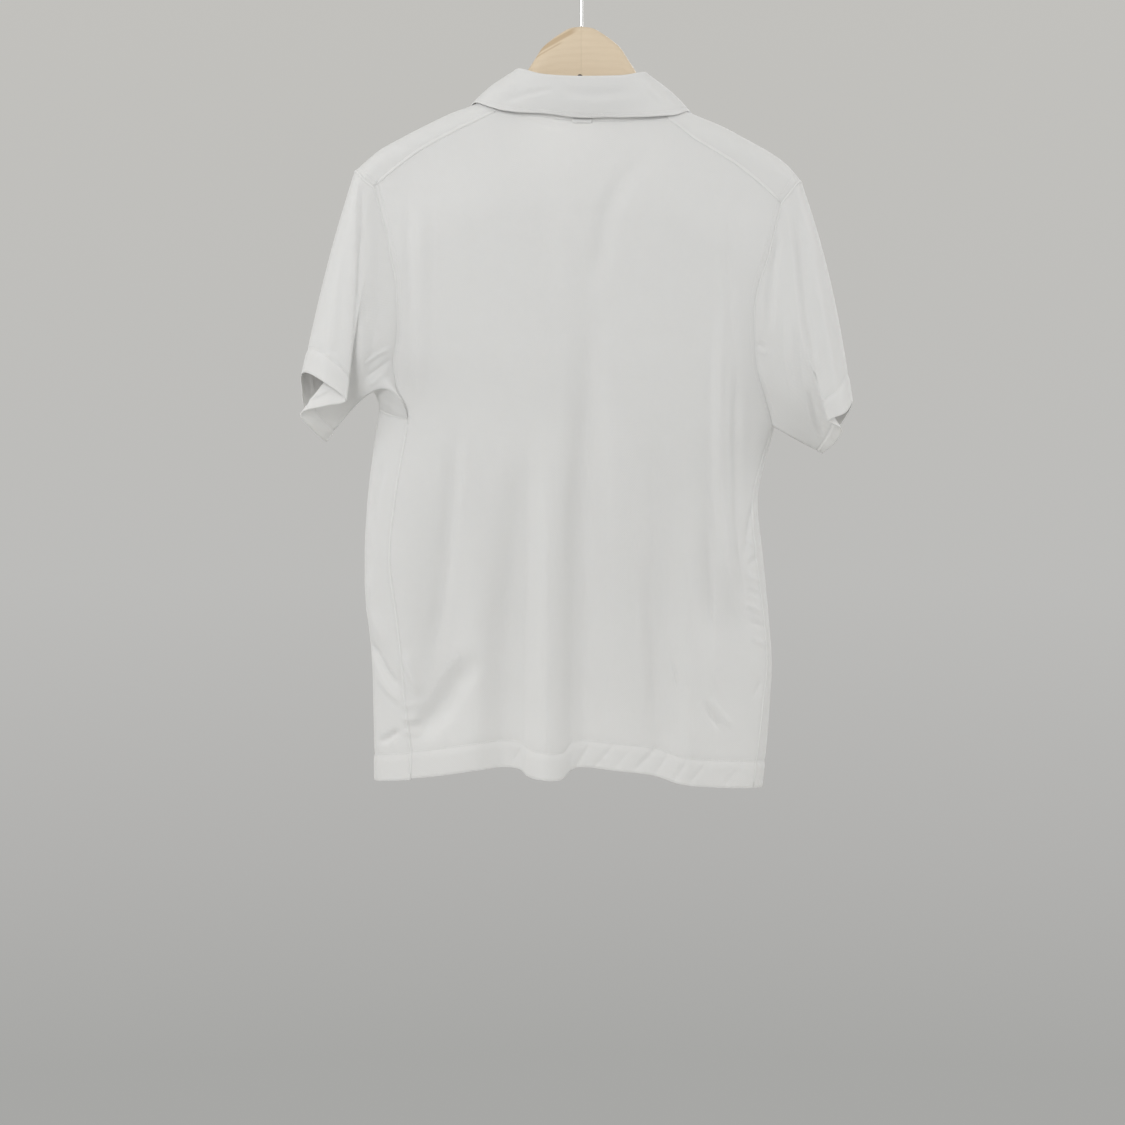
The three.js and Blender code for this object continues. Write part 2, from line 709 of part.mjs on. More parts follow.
function wall(grid, options = {}) {
  const { flip = false, trims = NO_TRIM, raised = () => 0, normals = null } = options;
  const thickness = options.thickness ?? WALL;
  const directions = normals ?? normalsOf(grid, flip);
  const middle = pullBack(grid, { ...NO_TRIM, ...trims });
  const rows = middle.length - 1;
  const columns = middle[0].length - 1;
  const positions = [];
  for (const side of [1, -1]) {
    middle.forEach((row, i) => row.forEach((point, j) => {
      const extra = side > 0 ? raised(i, j) : 0;
      const out = point.clone().addScaledVector(directions[i][j], side * thickness / 2 + extra);
      positions.push(out.x, out.y, out.z);
    }));
  }
  const sheet = (rows + 1) * (columns + 1);
  const outer = (i, j) => i * (columns + 1) + j;
  const inner = (i, j) => sheet + outer(i, j);
  const index = [];
  const quad = (a, b, c, d) => {
    if (flip) {
      index.push(a, c, b, a, d, c);
    } else {
      index.push(a, b, c, a, c, d);
    }
  };
  for (let i = 0; i < rows; i += 1) {
    for (let j = 0; j < columns; j += 1) {
      quad(outer(i, j), outer(i, j + 1), outer(i + 1, j + 1), outer(i + 1, j));
      quad(inner(i, j), inner(i + 1, j), inner(i + 1, j + 1), inner(i, j + 1));
    }
  }
  for (let i = 0; i < rows; i += 1) {
    quad(outer(i, 0), outer(i + 1, 0), inner(i + 1, 0), inner(i, 0));
    quad(outer(i, columns), inner(i, columns), inner(i + 1, columns), outer(i + 1, columns));
  }
  for (let j = 0; j < columns; j += 1) {
    quad(outer(0, j), inner(0, j), inner(0, j + 1), outer(0, j + 1));
    quad(outer(rows, j), outer(rows, j + 1), inner(rows, j + 1), inner(rows, j));
  }
  const geometry = new THREE.BufferGeometry();
  geometry.setAttribute('position', new THREE.Float32BufferAttribute(positions, 3));
  geometry.setIndex(index);
  return geometry;
}

const shirt = new THREE.Group();

function add(name, geometry, finish) {
  const mesh = new THREE.Mesh(geometry, new THREE.MeshStandardMaterial(finish));
  mesh.name = name;
  shirt.add(mesh);
  return mesh;
}

// Grids of the panels and the sleeves
const backGrid = backRows().map((row) => row.map(bodyPoint));
const frontGrid = frontRows().map((row) => row.map(bodyPoint));
const LOOP_SPANS = ROWS.backArm + ROWS.over + ROWS.frontArm;

function sleeveGrid(side) {
  const armhole = armholes[side];
  const loop = [
    ...armhole.back.map(bodyPoint),
    ...[...armhole.over].reverse().slice(1).map(bodyPoint),
    ...[...armhole.front].reverse().map(bodyPoint),
  ];
  const cuff = new THREE.CatmullRomCurve3(
    CUFF[side].map(({ x, y, z }) => new THREE.Vector3(x, y, z)), true, 'centripetal');
  const grid = [];
  for (let i = 0; i <= ROWS.sleeve; i += 1) {
    const down = i / ROWS.sleeve;
    grid.push(loop.map((point, j) => {
      const share = j / LOOP_SPANS;
      const end = cuff.getPointAt(share);
      const bulge = SLEEVE_FULLNESS[side] * Math.sin(Math.PI * down) * Math.sin(Math.PI * share);
      const middle = point.clone().lerp(end, down).addScaledVector(roundOut(side, share), bulge);
      const under = ease(Math.abs(2 * share - 1) * 2 - 1);
      const push = under * Math.sin(Math.PI * down ** UNDERARM_PUSH.skew);
      middle.y += UNDERARM_PUSH[side].y * push;
      middle.z += UNDERARM_PUSH[side].z * push;
      return middle;
    }));
  }
  return grid;
}

// Outward directions shared by the body and a sleeve round the armhole, so that both
// walls are cut on one mitre
function armholeMitres(side, sleeveNormals, backNormals, frontNormals) {
  const column = side === 'left' ? 0 : SPANS;
  const low = ROWS.body;
  const mitres = [];
  for (let k = 0; k <= LOOP_SPANS; k += 1) {
    const body = k <= ROWS.backArm
      ? backNormals[low + k][column]
      : frontNormals[low + LOOP_SPANS - k][column];
    mitres.push(body.clone().add(sleeveNormals[0][k]).normalize());
  }
  const under = mitres[0].clone().add(mitres[LOOP_SPANS]).normalize();
  mitres[0] = under;
  mitres[LOOP_SPANS] = under;
  return mitres;
}

const seamTrim = SEAM_GAP / 2;

function panels() {
  const backNormals = normalsOf(backGrid, false);
  const frontNormals = normalsOf(frontGrid, true);
  for (const side of ['left', 'right']) {
    const grid = sleeveGrid(side);
    const flip = side === 'right';
    const normals = normalsOf(grid, flip);
    const mitres = armholeMitres(side, normals, backNormals, frontNormals);
    const column = side === 'left' ? 0 : SPANS;
    for (let i = 0; i <= ROWS.backArm; i += 1) {
      backNormals[ROWS.body + i][column] = mitres[i];
    }
    for (let i = 0; i <= ROWS.frontArm + ROWS.over; i += 1) {
      frontNormals[ROWS.body + i][column] = mitres[LOOP_SPANS - i];
    }
    for (const row of normals) {
      const seam = row[0].clone().add(row[LOOP_SPANS]).normalize();
      row[0] = seam;
      row[LOOP_SPANS] = seam;
    }
    normals[0] = mitres;
    const under = (j) => Math.abs((2 * j) / LOOP_SPANS - 1) > UNDERARM.share;
    const armTrim = (j) => (under(j) ? UNDERARM.trim : seamTrim);
    const trims = { bottom: armTrim, left: seamTrim, right: seamTrim };
    const raised = (i) => (i >= ROWS.sleeve - 1 ? HEM_RISE : 0);
    add(`sleeve_${side}`, wall(grid, { flip, trims, normals, raised }), CLOTH);
  }
  const trims = { left: seamTrim, right: seamTrim, top: SHOULDER_TRIM };
  const raised = (i) => (i < 2 ? HEM_RISE : 0);
  const pairs = [['back', backGrid, backNormals, backTopPlaces],
    ['front', frontGrid, frontNormals, frontTopPlaces]];
  for (const [name, grid, normals, tops] of pairs) {
    const seam = normals[grid.length - 1];
    for (let j = 1; j < SPANS; j += 1) {
      const isNeck = j >= COLUMNS.shoulder && j <= SPANS - COLUMNS.shoulder;
      seam[j] = isNeck ? neckMitre(tops[j]) : seamNormal(bodyPoint(tops[j]).x);
    }
    add(name, wall(grid, { flip: name === 'front', trims, normals, raised }), CLOTH);
  }
}

panels();

// Collar: its root is the neck edge of the two panels, column by column
const neckStart = COLUMNS.shoulder;
const neckEnd = SPANS - COLUMNS.shoulder;
const neckMiddle = SPANS / 2;
const backEdge = backGrid[backGrid.length - 1].slice(neckStart, neckEnd + 1);
const frontEdge = frontGrid[frontGrid.length - 1];
const collarRoot = [
  ...frontEdge.slice(neckStart + 1, neckMiddle + 1).reverse(),
  ...backEdge,
  ...frontEdge.slice(neckMiddle, neckEnd).reverse(),
];
const collarPlaces = [
  ...frontTopPlaces.slice(neckStart + 1, neckMiddle + 1).reverse(),
  ...backTopPlaces.slice(neckStart, neckEnd + 1),
  ...frontTopPlaces.slice(neckMiddle, neckEnd).reverse(),
];
const COLLAR_SPANS = collarRoot.length - 1;

function collarShare(j) {
  return mix(-1, 1, j / COLLAR_SPANS);
}

function foldPoint(j) {
  const share = collarShare(j);
  const at = Math.abs(share);
  const side = Math.sign(share);
  const tilt = share > 0 ? COLLAR.tilt * ease(at * 2) * ease(3 - 3 * at) : 0;
  return new THREE.Vector3(
    side * read(FOLD_LINE, 'at', at, 'x'),
    read(FOLD_LINE, 'at', at, 'y'),
    read(FOLD_LINE, 'at', at, 'z') - tilt);
}

// Directions at the fold: up along the stand, and out from it
function foldFrame(j) {
  const fold = foldPoint(j);
  const up = fold.clone().sub(collarRoot[j]).normalize();
  const out = new THREE.Vector3(fold.x, fold.y, 0).normalize();
  out.addScaledVector(up, -out.dot(up)).normalize();
  return { fold, up, out };
}

function edgePoint(j) {
  const share = collarShare(j);
  const x = Math.sign(share) * read(FREE_EDGE, 'at', Math.abs(share), 'x');
  const fromRidge = read(FREE_EDGE, 'at', Math.abs(share), 'fromRidge');
  const level = ridgeLevel(x) - Math.abs(fromRidge);
  const place = { turn: turnAt(x, level, fromRidge < 0), level };
  const over = clamp(fromRidge / RIDGE_RADIUS, -QUARTER, QUARTER);
  const out = new THREE.Vector3(0, Math.sin(over), Math.cos(over));
  return bodyPoint(place).addScaledVector(out, COLLAR.lift);
}

function collarStand() {
  const grid = [];
  const ends = collarRoot.map((_, j) => foldPoint(j));
  for (let i = 0; i <= COLLAR.stand; i += 1) {
    grid.push(collarRoot.map((root, j) => root.clone().lerp(ends[j], i / COLLAR.stand)));
  }
  const normals = normalsOf(grid, false);
  normals[0] = collarPlaces.map(neckMitre);
  normals[COLLAR.stand] = collarRoot.map((_, j) => foldFrame(j).out);
  const trims = { top: seamTrim, bottom: COLLAR.rootTrim };
  add('collar_stand', wall(grid, { trims, normals }), CLOTH);
}

function collarFall() {
  const grid = [];
  const { rollRadius } = COLLAR;
  for (let i = 0; i <= COLLAR.fall; i += 1) {
    const down = i / COLLAR.fall;
    grid.push(collarRoot.map((_, j) => {
      const { fold, out } = foldFrame(j);
      const top = fold.addScaledVector(out, 2 * rollRadius);
      const point = edgePoint(j).lerp(top, down);
      return point.addScaledVector(out, COLLAR.belly * Math.sin(Math.PI * down));
    }));
  }
  for (let i = 1; i <= COLLAR.roll; i += 1) {
    const angle = (Math.PI * i) / COLLAR.roll;
    grid.push(collarRoot.map((_, j) => {
      const { fold, up, out } = foldFrame(j);
      return fold.addScaledVector(out, rollRadius * (1 + Math.cos(angle)))
        .addScaledVector(up, rollRadius * Math.sin(angle));
    }));
  }
  const normals = normalsOf(grid, false);
  normals[grid.length - 1] = collarRoot.map((_, j) => foldFrame(j).out.negate());
  add('collar_fall', wall(grid, { trims: { top: seamTrim }, normals }), CLOTH);
}

collarStand();
collarFall();

// Pieces that lie on a panel, from the panel's own points moved out
function onPanel(grid, i, j) {
  const row = clamp(Math.floor(i), 0, grid.length - 2);
  const column = clamp(Math.floor(j), 0, SPANS - 1);
  const low = grid[row][column].clone().lerp(grid[row][column + 1], j - column);
  const high = grid[row + 1][column].clone().lerp(grid[row + 1][column + 1], j - column);
  return low.lerp(high, i - row);
}

function movedOut(grid, by, flip) {
  const normals = normalsOf(grid, flip);
  return grid.map((row, i) => row.map((point, j) => {
    return point.clone().addScaledVector(normals[i][j], by);
  }));
}

// Column of a panel's row at a given x
function columnAt(row, x) {
  let j = COLUMNS.shoulder;
  while (j < SPANS - 1 && row[j + 1].x < x) {
    j += 1;
  }
  return j + (x - row[j].x) / (row[j + 1].x - row[j].x);
}

function placket() {
  const top = frontGrid.length - 1;
  const { half, rows, thickness } = PLACKET;
  const grid = [];
  for (let i = rows; i >= 0; i -= 1) {
    const row = frontGrid[top - i];
    const place = i === 0 ? top - TOP_INSET : top - i;
    const edges = [columnAt(row, -half), columnAt(row, half)];
    const columns = [edges[0], mix(edges[0], neckMiddle, 0.5), neckMiddle,
      mix(neckMiddle, edges[1], 0.5), edges[1]];
    grid.push(columns.map((column) => onPanel(frontGrid, place, column)));
  }
  const out = (WALL + thickness) / 2 + LAYER_GAP + PLACKET.easing;
  add('placket', wall(movedOut(grid, out, true), { thickness, flip: true }), CLOTH);
  const face = movedOut(grid, out + (thickness + BUTTON.height) / 2 + BUTTON.seat, true);
  const line = new THREE.CatmullRomCurve3(face.map((row) => row[2]).reverse());
  BUTTON.fromNeck.forEach((distance, number) => {
    const place = distance / line.getLength();
    const down = line.getTangentAt(place);
    const out = new THREE.Vector3(1, 0, 0).cross(down);
    const disc = new THREE.CylinderGeometry(
      BUTTON.radius, BUTTON.radius, BUTTON.height, BUTTON.sides);
    const mesh = add(`button_${number + 1}`, disc, BUTTON_WHITE);
    mesh.position.copy(line.getPointAt(place));
    mesh.quaternion.setFromUnitVectors(new THREE.Vector3(0, 1, 0), out);
  });
}

function neckTab() {
  const { left, right, from, rows, thickness } = NECK_TAB;
  const top = backGrid.length - 1;
  const columns = [left, (left + right) / 2, right].map((x) => columnAt(backGrid[top], x));
  const grid = [top - from - rows, top - from].map((row) => {
    return columns.map((column) => onPanel(backGrid, row, column));
  });
  const tab = movedOut(grid, (WALL + thickness) / 2 + LAYER_GAP, false);
  add('neck_tab', wall(tab, { thickness }), CLOTH);
}

placket();
neckTab();

// A closed solid through rings of equally many points
function loft(rings, flip) {
  const sides = rings[0].length;
  const positions = [];
  for (const ring of rings) {
    for (const point of ring) {
      positions.push(point.x, point.y, point.z);
    }
  }
  const index = [];
  const triangle = (a, b, c) => index.push(...(flip ? [a, c, b] : [a, b, c]));
  for (let i = 0; i < rings.length - 1; i += 1) {
    for (let k = 0; k < sides; k += 1) {
      const next = (k + 1) % sides;
      const a = i * sides + k;
      const b = i * sides + next;
      triangle(a, b, b + sides);
      triangle(a, b + sides, a + sides);
    }
  }
  const last = (rings.length - 1) * sides;
  for (let k = 1; k < sides - 1; k += 1) {
    triangle(0, k + 1, k);
    triangle(last, last + k, last + k + 1);
  }
  const geometry = new THREE.BufferGeometry();
  geometry.setAttribute('position', new THREE.Float32BufferAttribute(positions, 3));
  geometry.setIndex(index);
  return geometry;
}

// Half of the hanger: sections from the middle to the rounded tip of the arm
function hangerSection(x, top, height, half) {
  const ring = [];
  for (let k = 0; k < HANGER_SIDES; k += 1) {
    const angle = (k / HANGER_SIDES) * 2 * Math.PI;
    const y = half * signedPower(Math.cos(angle), HANGER_POWER);
    const z = top - height / 2 + (height / 2) * signedPower(Math.sin(angle), HANGER_POWER);
    ring.push(new THREE.Vector3(x, y, z));
  }
  return ring;
}

function hangerHalf(side) {
  const sign = side === 'left' ? -1 : 1;
  const under = (x) => {
    const dip = NECK_DIP.depth * ease((HANGER_ARM.from - x) / NECK_DIP.length + 1)
      + TIP_DIP.depth * ease((x - HANGER_ARM.to) / TIP_DIP.length + 1);
    return read(RIDGE, 'x', sign * x, 'z') - WALL / 2 - RIDGE_CLEARANCE - dip;
  };
  const rings = HANGER.map(({ x, top, height, half }) => {
    return hangerSection(sign * Math.max(x, HALF_GAP), top, height, half);
  });
  const { from, to, height, endHeight, half, endHalf } = HANGER_ARM;
  for (let k = 0; k <= HANGER_ARM.rings; k += 1) {
    const t = k / HANGER_ARM.rings;
    const x = mix(from, to, t);
    const tall = mix(height, endHeight, t);
    rings.push(hangerSection(sign * x, under(x), tall, mix(half, endHalf, t)));
  }
  for (let k = 1; k <= HANGER_TIP.rings; k += 1) {
    const angle = (QUARTER * k) / (HANGER_TIP.rings + HANGER_TIP.blunt);
    const x = to + HANGER_TIP.length * Math.sin(angle);
    const scale = Math.cos(angle);
    const middle = under(to) - endHeight / 2 - (x - to) / 2;
    const tall = endHeight * scale;
    rings.push(hangerSection(sign * x, middle + tall / 2, tall, endHalf * scale));
  }
  add(`hanger_${side}`, loft(rings, side === 'left'), WOOD);
}

hangerHalf('left');
hangerHalf('right');

// Hook: a straight shaft, a bend to one side and a round crown over the rail
class HookPath extends THREE.Curve {
  constructor() {
    super();
    const { wire, inner, shaftTop, shaftBottom, joins, ends } = HOOK;
    const radius = inner + wire;
    const crown = (degrees) => {
      const angle = THREE.MathUtils.degToRad(degrees);
      return new THREE.Vector3(
        radius * Math.cos(angle), 0, -inner + radius * Math.sin(angle));
    };
    const start = crown(joins);
    const angle = THREE.MathUtils.degToRad(joins + 90);
    const heading = new THREE.Vector3(Math.cos(angle), 0, Math.sin(angle));
    const bend = new THREE.CubicBezierCurve3(
      new THREE.Vector3(0, 0, shaftTop),
      new THREE.Vector3(0, 0, shaftTop + HOOK.bendReach),
      start.clone().addScaledVector(heading, -HOOK.bendReach),
      start);
    const points = [
      new THREE.Vector3(0, 0, shaftBottom),
      new THREE.Vector3(0, 0, (shaftBottom + shaftTop) / 2),
      ...bend.getPoints(HOOK.bendPoints),
    ];
    for (let k = 1; k <= HOOK.crownPoints; k += 1) {
      points.push(crown(mix(joins, ends, k / HOOK.crownPoints)));
    }
    this.spline = new THREE.CatmullRomCurve3(points, false, 'centripetal');
  }

  getPoint(t, target = new THREE.Vector3()) {
    return this.spline.getPoint(t, target);
  }
}

function hook() {
  const section = new THREE.Shape();
  section.absarc(0, 0, HOOK.wire, 0, 2 * Math.PI);
  const geometry = new THREE.ExtrudeGeometry(section, {
    curveSegments: HOOK.quarterSides,
    steps: HOOK.steps,
    bevelEnabled: false,
    extrudePath: new HookPath(),
  });
  add('hook', geometry, CHROME);
}

hook();

export default shirt;
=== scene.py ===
import math

import bmesh
import bpy
import numpy as np
from mathutils import Matrix, Vector


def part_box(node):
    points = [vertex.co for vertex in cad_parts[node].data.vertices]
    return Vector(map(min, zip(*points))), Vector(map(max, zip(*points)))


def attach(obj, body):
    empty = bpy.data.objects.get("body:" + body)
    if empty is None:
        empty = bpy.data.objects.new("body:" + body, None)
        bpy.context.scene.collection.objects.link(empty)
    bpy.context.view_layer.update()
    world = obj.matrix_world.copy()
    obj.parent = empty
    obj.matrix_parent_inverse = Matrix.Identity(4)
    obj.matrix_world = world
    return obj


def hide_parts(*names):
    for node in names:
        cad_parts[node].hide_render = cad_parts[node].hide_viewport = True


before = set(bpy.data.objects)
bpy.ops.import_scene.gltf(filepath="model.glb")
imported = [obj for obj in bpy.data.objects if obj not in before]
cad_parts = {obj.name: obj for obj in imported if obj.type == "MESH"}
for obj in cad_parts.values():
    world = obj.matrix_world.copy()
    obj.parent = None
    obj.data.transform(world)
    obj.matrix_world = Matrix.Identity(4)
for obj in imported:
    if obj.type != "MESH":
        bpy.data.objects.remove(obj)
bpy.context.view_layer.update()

# Cloth of the body
# A soft white knit, cut as a back and a front. It hangs from the hanger's arms as a flat
# lens, and the shape of both panels comes from one surface round the body.
BODY = {
    "z": [-885, -834, -791, -754, -707, -643, -579, -537, -505, -473, -425, -330, -150],
    "left": [-218, -219, -220, -221, -225, -229, -226, -221, -217, -214, -236, -246, -250],
    "right": [190, 196, 199, 201, 198, 192, 186, 194, 203, 206, 222, 238, 244],
    "back": [54, 52, 50, 50, 50, 52, 54, 55, 55, 55, 55, 52, 46],
    "front": [60, 58, 57, 57, 58, 60, 61, 61, 60, 60, 59, 56, 50],
    "seam_left": [46, 39, 35, 33, 32, 28, 31, 33, 34.5, 35, 35, 35, 35],
    "seam_right": [12, 10, 8, 6, 6, 8, 6, 4, 3, 3, 3, 3, 3],
}
RIDGE = {
    "x": [-240, -214, -192, -171, -139, -116, -88, 0, 88, 117, 147, 168, 200, 218, 233],
    "z": [-233, -210.5, -198, -187, -171.5, -163, -151, -141, -157, -171.5, -184, -195, -213,
          -226.5, -244.5],
    "drop": [45, 38, 32, 27.5, 25, 22, 22, 20, 23, 29, 35, 38, 47, 55, 58],
}
HEM = {
    "x": [-218, -150, -106, -82, -64, -55, -40, -20, -11, 2, 42, 76, 104, 140, 190],
    "back": [-875, -868, -861, -858.5, -860, -867, -870, -870, -861, -858.5, -862, -867, -876,
             -880, -883],
    "front": [-876, -870, -864, -861, -860, -860, -861, -862, -862, -861, -862, -866, -872,
              -878, -883],
}
BACK_FOLDS = {
    "low": [-36, -80, 2, -148, 44, 86, 116, 138, 154, -112],
    "high": [-32, -66, 8, -140, 44, 78, 112, 130, 152, -108],
    "half": [26, 30, 27, 42, 32, 30, 26, 22, 26, 32],
    "depth": [14, -6, -8, -6, 5, -7, 4, -5, 6, 4],
    "bottom": [-960, -960, -960, -860, -960, -900, -900, -760, -720, -900],
    "top": [-470, -520, -360, -520, -420, -480, -560, -520, -330, -520],
}
FRONT_FOLDS = {
    "low": [-150, -92, -40, 22, 80, 136],
    "high": [-130, -84, -46, 16, 74, 124],
    "half": [34, 32, 30, 34, 32, 32],
    "depth": [12, -9, 10, -8, 13, -8],
    "bottom": [-960, -960, -960, -960, -960, -940],
    "top": [-480, -520, -560, -560, -500, -500],
}
RIDGE_RADIUS = 24
SHOULDER_REACH = 150
EDGE_POWER = 0.8
DEPTH_POWER = 0.9
EDGE_CALM = 1.6
FOLD_FADE = {"top": 220, "bottom": 80}
FOLD_FOOT = -875
HEM_HEIGHT = 28
HEM_WIDTH = 390
WAVE_FADE = 3
QUARTER = math.pi / 2
ARC_RISE = RIDGE_RADIUS * (QUARTER - 1)
CURVE_STOPS = 241


def mix(a, b, t):
    return a + (b - a) * t


def ease(t):
    s = np.clip(t, 0, 1)
    return s * s * (3 - 2 * s)


def signed_power(value, power):
    return np.sign(value) * np.abs(value) ** power


def read(table, key, place, column):
    """One column of a table, read smoothly at places along its key column."""
    keys, values = np.array(table[key], float), np.array(table[column], float)
    last = len(keys) - 1
    before = np.maximum(np.arange(last + 1) - 1, 0)
    after = np.minimum(np.arange(last + 1) + 1, last)
    slope = (values[after] - values[before]) / (keys[after] - keys[before])
    i = np.clip(np.searchsorted(keys, place) - 1, 0, last - 1)
    span = keys[i + 1] - keys[i]
    t = np.clip((place - keys[i]) / span, 0, 1)
    lift = t * (1 - t) * span
    value = mix(values[i], values[i + 1], ease(t))
    return value + lift * (slope[i] * (1 - t) - slope[i + 1] * t)


def stops_at(shares, curve, stops):
    """Parameters at shares of a curve's length, measured over closely spaced stops."""
    steps = np.linalg.norm(np.diff(curve(stops), axis=0), axis=1)
    lengths = np.concatenate([[0], np.cumsum(steps)])
    return np.interp(shares * lengths[-1], lengths, stops)


def spread(curve, start, end, spans):
    """Parameters that divide a curve into spans of equal length."""
    return stops_at(np.linspace(0, 1, spans + 1), curve, np.linspace(start, end, CURVE_STOPS))


def fold_depth(folds, x, z):
    total = np.zeros(np.broadcast(x, z).shape)
    for low, high, half, depth, bottom, top in zip(*folds.values()):
        up = np.clip((z - FOLD_FOOT) / (top - FOLD_FOOT), 0, 1)
        across = np.abs(x - mix(low, high, up)) / half
        rise = ease((top - z) / FOLD_FADE["top"]) * ease((z - bottom) / FOLD_FADE["bottom"])
        total += np.where(z < top, depth * rise * ease(1 - across), 0)
    return total


def ridge_level(x):
    return read(RIDGE, "x", x, "z") + ARC_RISE


def girth(level):
    left, right = read(BODY, "z", level, "left"), read(BODY, "z", level, "right")
    return (left + right) / 2, (right - left) / 2


def body_point(turn, level):
    """A point of the cloth. The turn goes from the right edge by the front to the left
    edge and on by the back. The level is a height, and near the ridge a length of cloth."""
    middle, half = girth(level)
    x = middle + half * signed_power(np.cos(turn), EDGE_POWER)
    front = np.sin(turn) >= 0
    from_ridge = ridge_level(x) - level
    over = np.clip(from_ridge / RIDGE_RADIUS, -QUARTER, QUARTER)
    front_deep, back_deep = read(BODY, "z", level, "front"), read(BODY, "z", level, "back")
    deep = np.where(front, front_deep, back_deep)
    lens = deep * np.abs(np.sin(turn)) ** DEPTH_POWER
    settled = ease(np.abs(from_ridge) / SHOULDER_REACH)
    edge = ease(np.abs(np.sin(turn)) * EDGE_CALM)
    front_fold, back_fold = fold_depth(FRONT_FOLDS, x, level), fold_depth(BACK_FOLDS, x, level)
    folds = np.where(front, front_fold, back_fold) * settled * edge
    depth = mix(RIDGE_RADIUS, lens, settled) + folds
    drop = RIDGE_RADIUS * (1 - np.cos(over))
    beyond = np.maximum(0, np.abs(from_ridge) - RIDGE_RADIUS * QUARTER)
    z = read(RIDGE, "x", x, "z") - drop - beyond
    return np.stack([x, np.where(front, 1, -1) * depth * np.sin(over), z], axis=-1)


def turn_at(x, level, behind):
    middle, half = girth(level)
    ratio = np.clip((x - middle) / half, -1, 1)
    turn = np.arccos(np.clip(signed_power(ratio, 1 / EDGE_POWER), -1, 1))
    return 2 * math.pi - turn if behind else turn


def place(turn, level):
    turn, level = np.broadcast_arrays(turn, level)
    return np.stack([turn, level], axis=-1).astype(float)


def points_of(places):
    return body_point(places[..., 0], places[..., 1])


# Armholes
# The back runs from the underarm to the shoulder seam, which lies behind the ridge. The
# front runs from the underarm over the ridge. A third value marks a point of the front that
# lies on the back or right on the edge.
SIGN = {"left": -1, "right": 1}
ARMHOLE = {
    "left": {
        "back": [(-181, -497), (-193, -470), (-193, -415), (-193, -362), (-199, -328),
                 (-205, -299), (-212, -274), (-218, -253)],
        "front": [(-181, -497, "back"), (-214, -480, "edge"), (-206, -452), (-200, -400),
                  (-204, -345), (-214, -300), (-228, -262), (-234, -240)],
    },
    "right": {
        "back": [(201, -501), (192, -471), (183, -440), (180, -392), (184, -360), (193, -333),
                 (201, -304), (209, -272)],
        "front": [(201, -501, "back"), (203, -478, "edge"), (196, -452), (190, -400),
                  (194, -350), (206, -305), (220, -270), (227, -252)],
    },
}
OVER = {
    "left": [-234, -239, -240, -237, -229, -218],
    "right": [227, 232, 233, 230, 220, 209],
    "neck": [100, 99, 97, 95, 91, 88],
}
OVER_FRONT = 26
OVER_BETWEEN = 13
COARSE = {"body": 14, "back_arm": 9, "front_arm": 10, "over": 5, "shoulder": 9, "neck": 14}
FINER = {"body": 9, "back_arm": 10, "front_arm": 9, "over": 5, "columns": 6}
SHOULDER_COLUMNS = COARSE["shoulder"] * FINER["columns"]
NECK_COLUMNS = COARSE["neck"] * FINER["columns"]
COLUMNS = 2 * SHOULDER_COLUMNS + NECK_COLUMNS
BODY_ROWS = COARSE["body"] * FINER["body"]
BACK_ARM = COARSE["back_arm"] * FINER["back_arm"]
FRONT_ARM = COARSE["front_arm"] * FINER["front_arm"]
OVER_ROWS = COARSE["over"] * FINER["over"]
NECK_HALF = 88
NECK_DIP = 8


def smooth(rows, t):
    """A soft curve through evenly spaced rows, at shares of the way along them."""
    rows = np.asarray(rows, float)
    last = len(rows) - 1
    scaled = np.clip(t, 0, 1) * last
    i = np.minimum(scaled.astype(int), last - 1) if np.ndim(scaled) else min(int(scaled), last - 1)
    s = scaled - i
    first, second = np.where(i > 0, 2, 1), np.where(np.add(i, 1) < last, 2, 1)
    if rows.ndim > 1 and np.ndim(s):
        s, first, second = s[:, None], first[:, None], second[:, None]
    a, b = rows[i], rows[np.add(i, 1)]
    slope_a = (b - rows[np.maximum(np.subtract(i, 1), 0)]) / first
    slope_b = (rows[np.minimum(np.add(i, 2), last)] - a) / second
    return mix(a, b, ease(s)) + s * (1 - s) * (slope_a * (1 - s) - slope_b * s)


def seam_levels(x):
    """Levels of the shoulder seam on the back and on the front panel, and of the ridge."""
    drop = read(RIDGE, "x", x, "drop")
    arc = RIDGE_RADIUS * np.arccos(np.clip(1 - drop / RIDGE_RADIUS, 0, 1))
    path = arc + np.maximum(0, drop - RIDGE_RADIUS)
    top = ridge_level(x)
    return top - path, top + path, top


def over_place(x, row):
    _, front, ridge = seam_levels(x)
    path = front - ridge
    steps = [OVER_FRONT, OVER_BETWEEN, 0, -OVER_BETWEEN, -(OVER_BETWEEN + path) / 2, -path]
    low = min(int(row), len(steps) - 2)
    level = ridge - mix(steps[low], steps[low + 1], row - low)
    return place(turn_at(x, level, False), level)


def arm_places(side, rows, is_back):
    found = []
    for row in rows:
        wrap = row[2] if len(row) > 2 else ""
        behind = is_back or wrap == "back"
        turn = float(turn_at(row[0], row[1], behind))
        if wrap == "edge":
            turn = math.pi if side == "left" else 0.0
        if side == "right" and not is_back and behind:
            turn -= 2 * math.pi
        found.append((turn, row[1]))
    return np.array(found)


def sampled(rows, spans):
    return smooth(rows, spread(lambda t: points_of(smooth(rows, t)), 0, 1, spans))


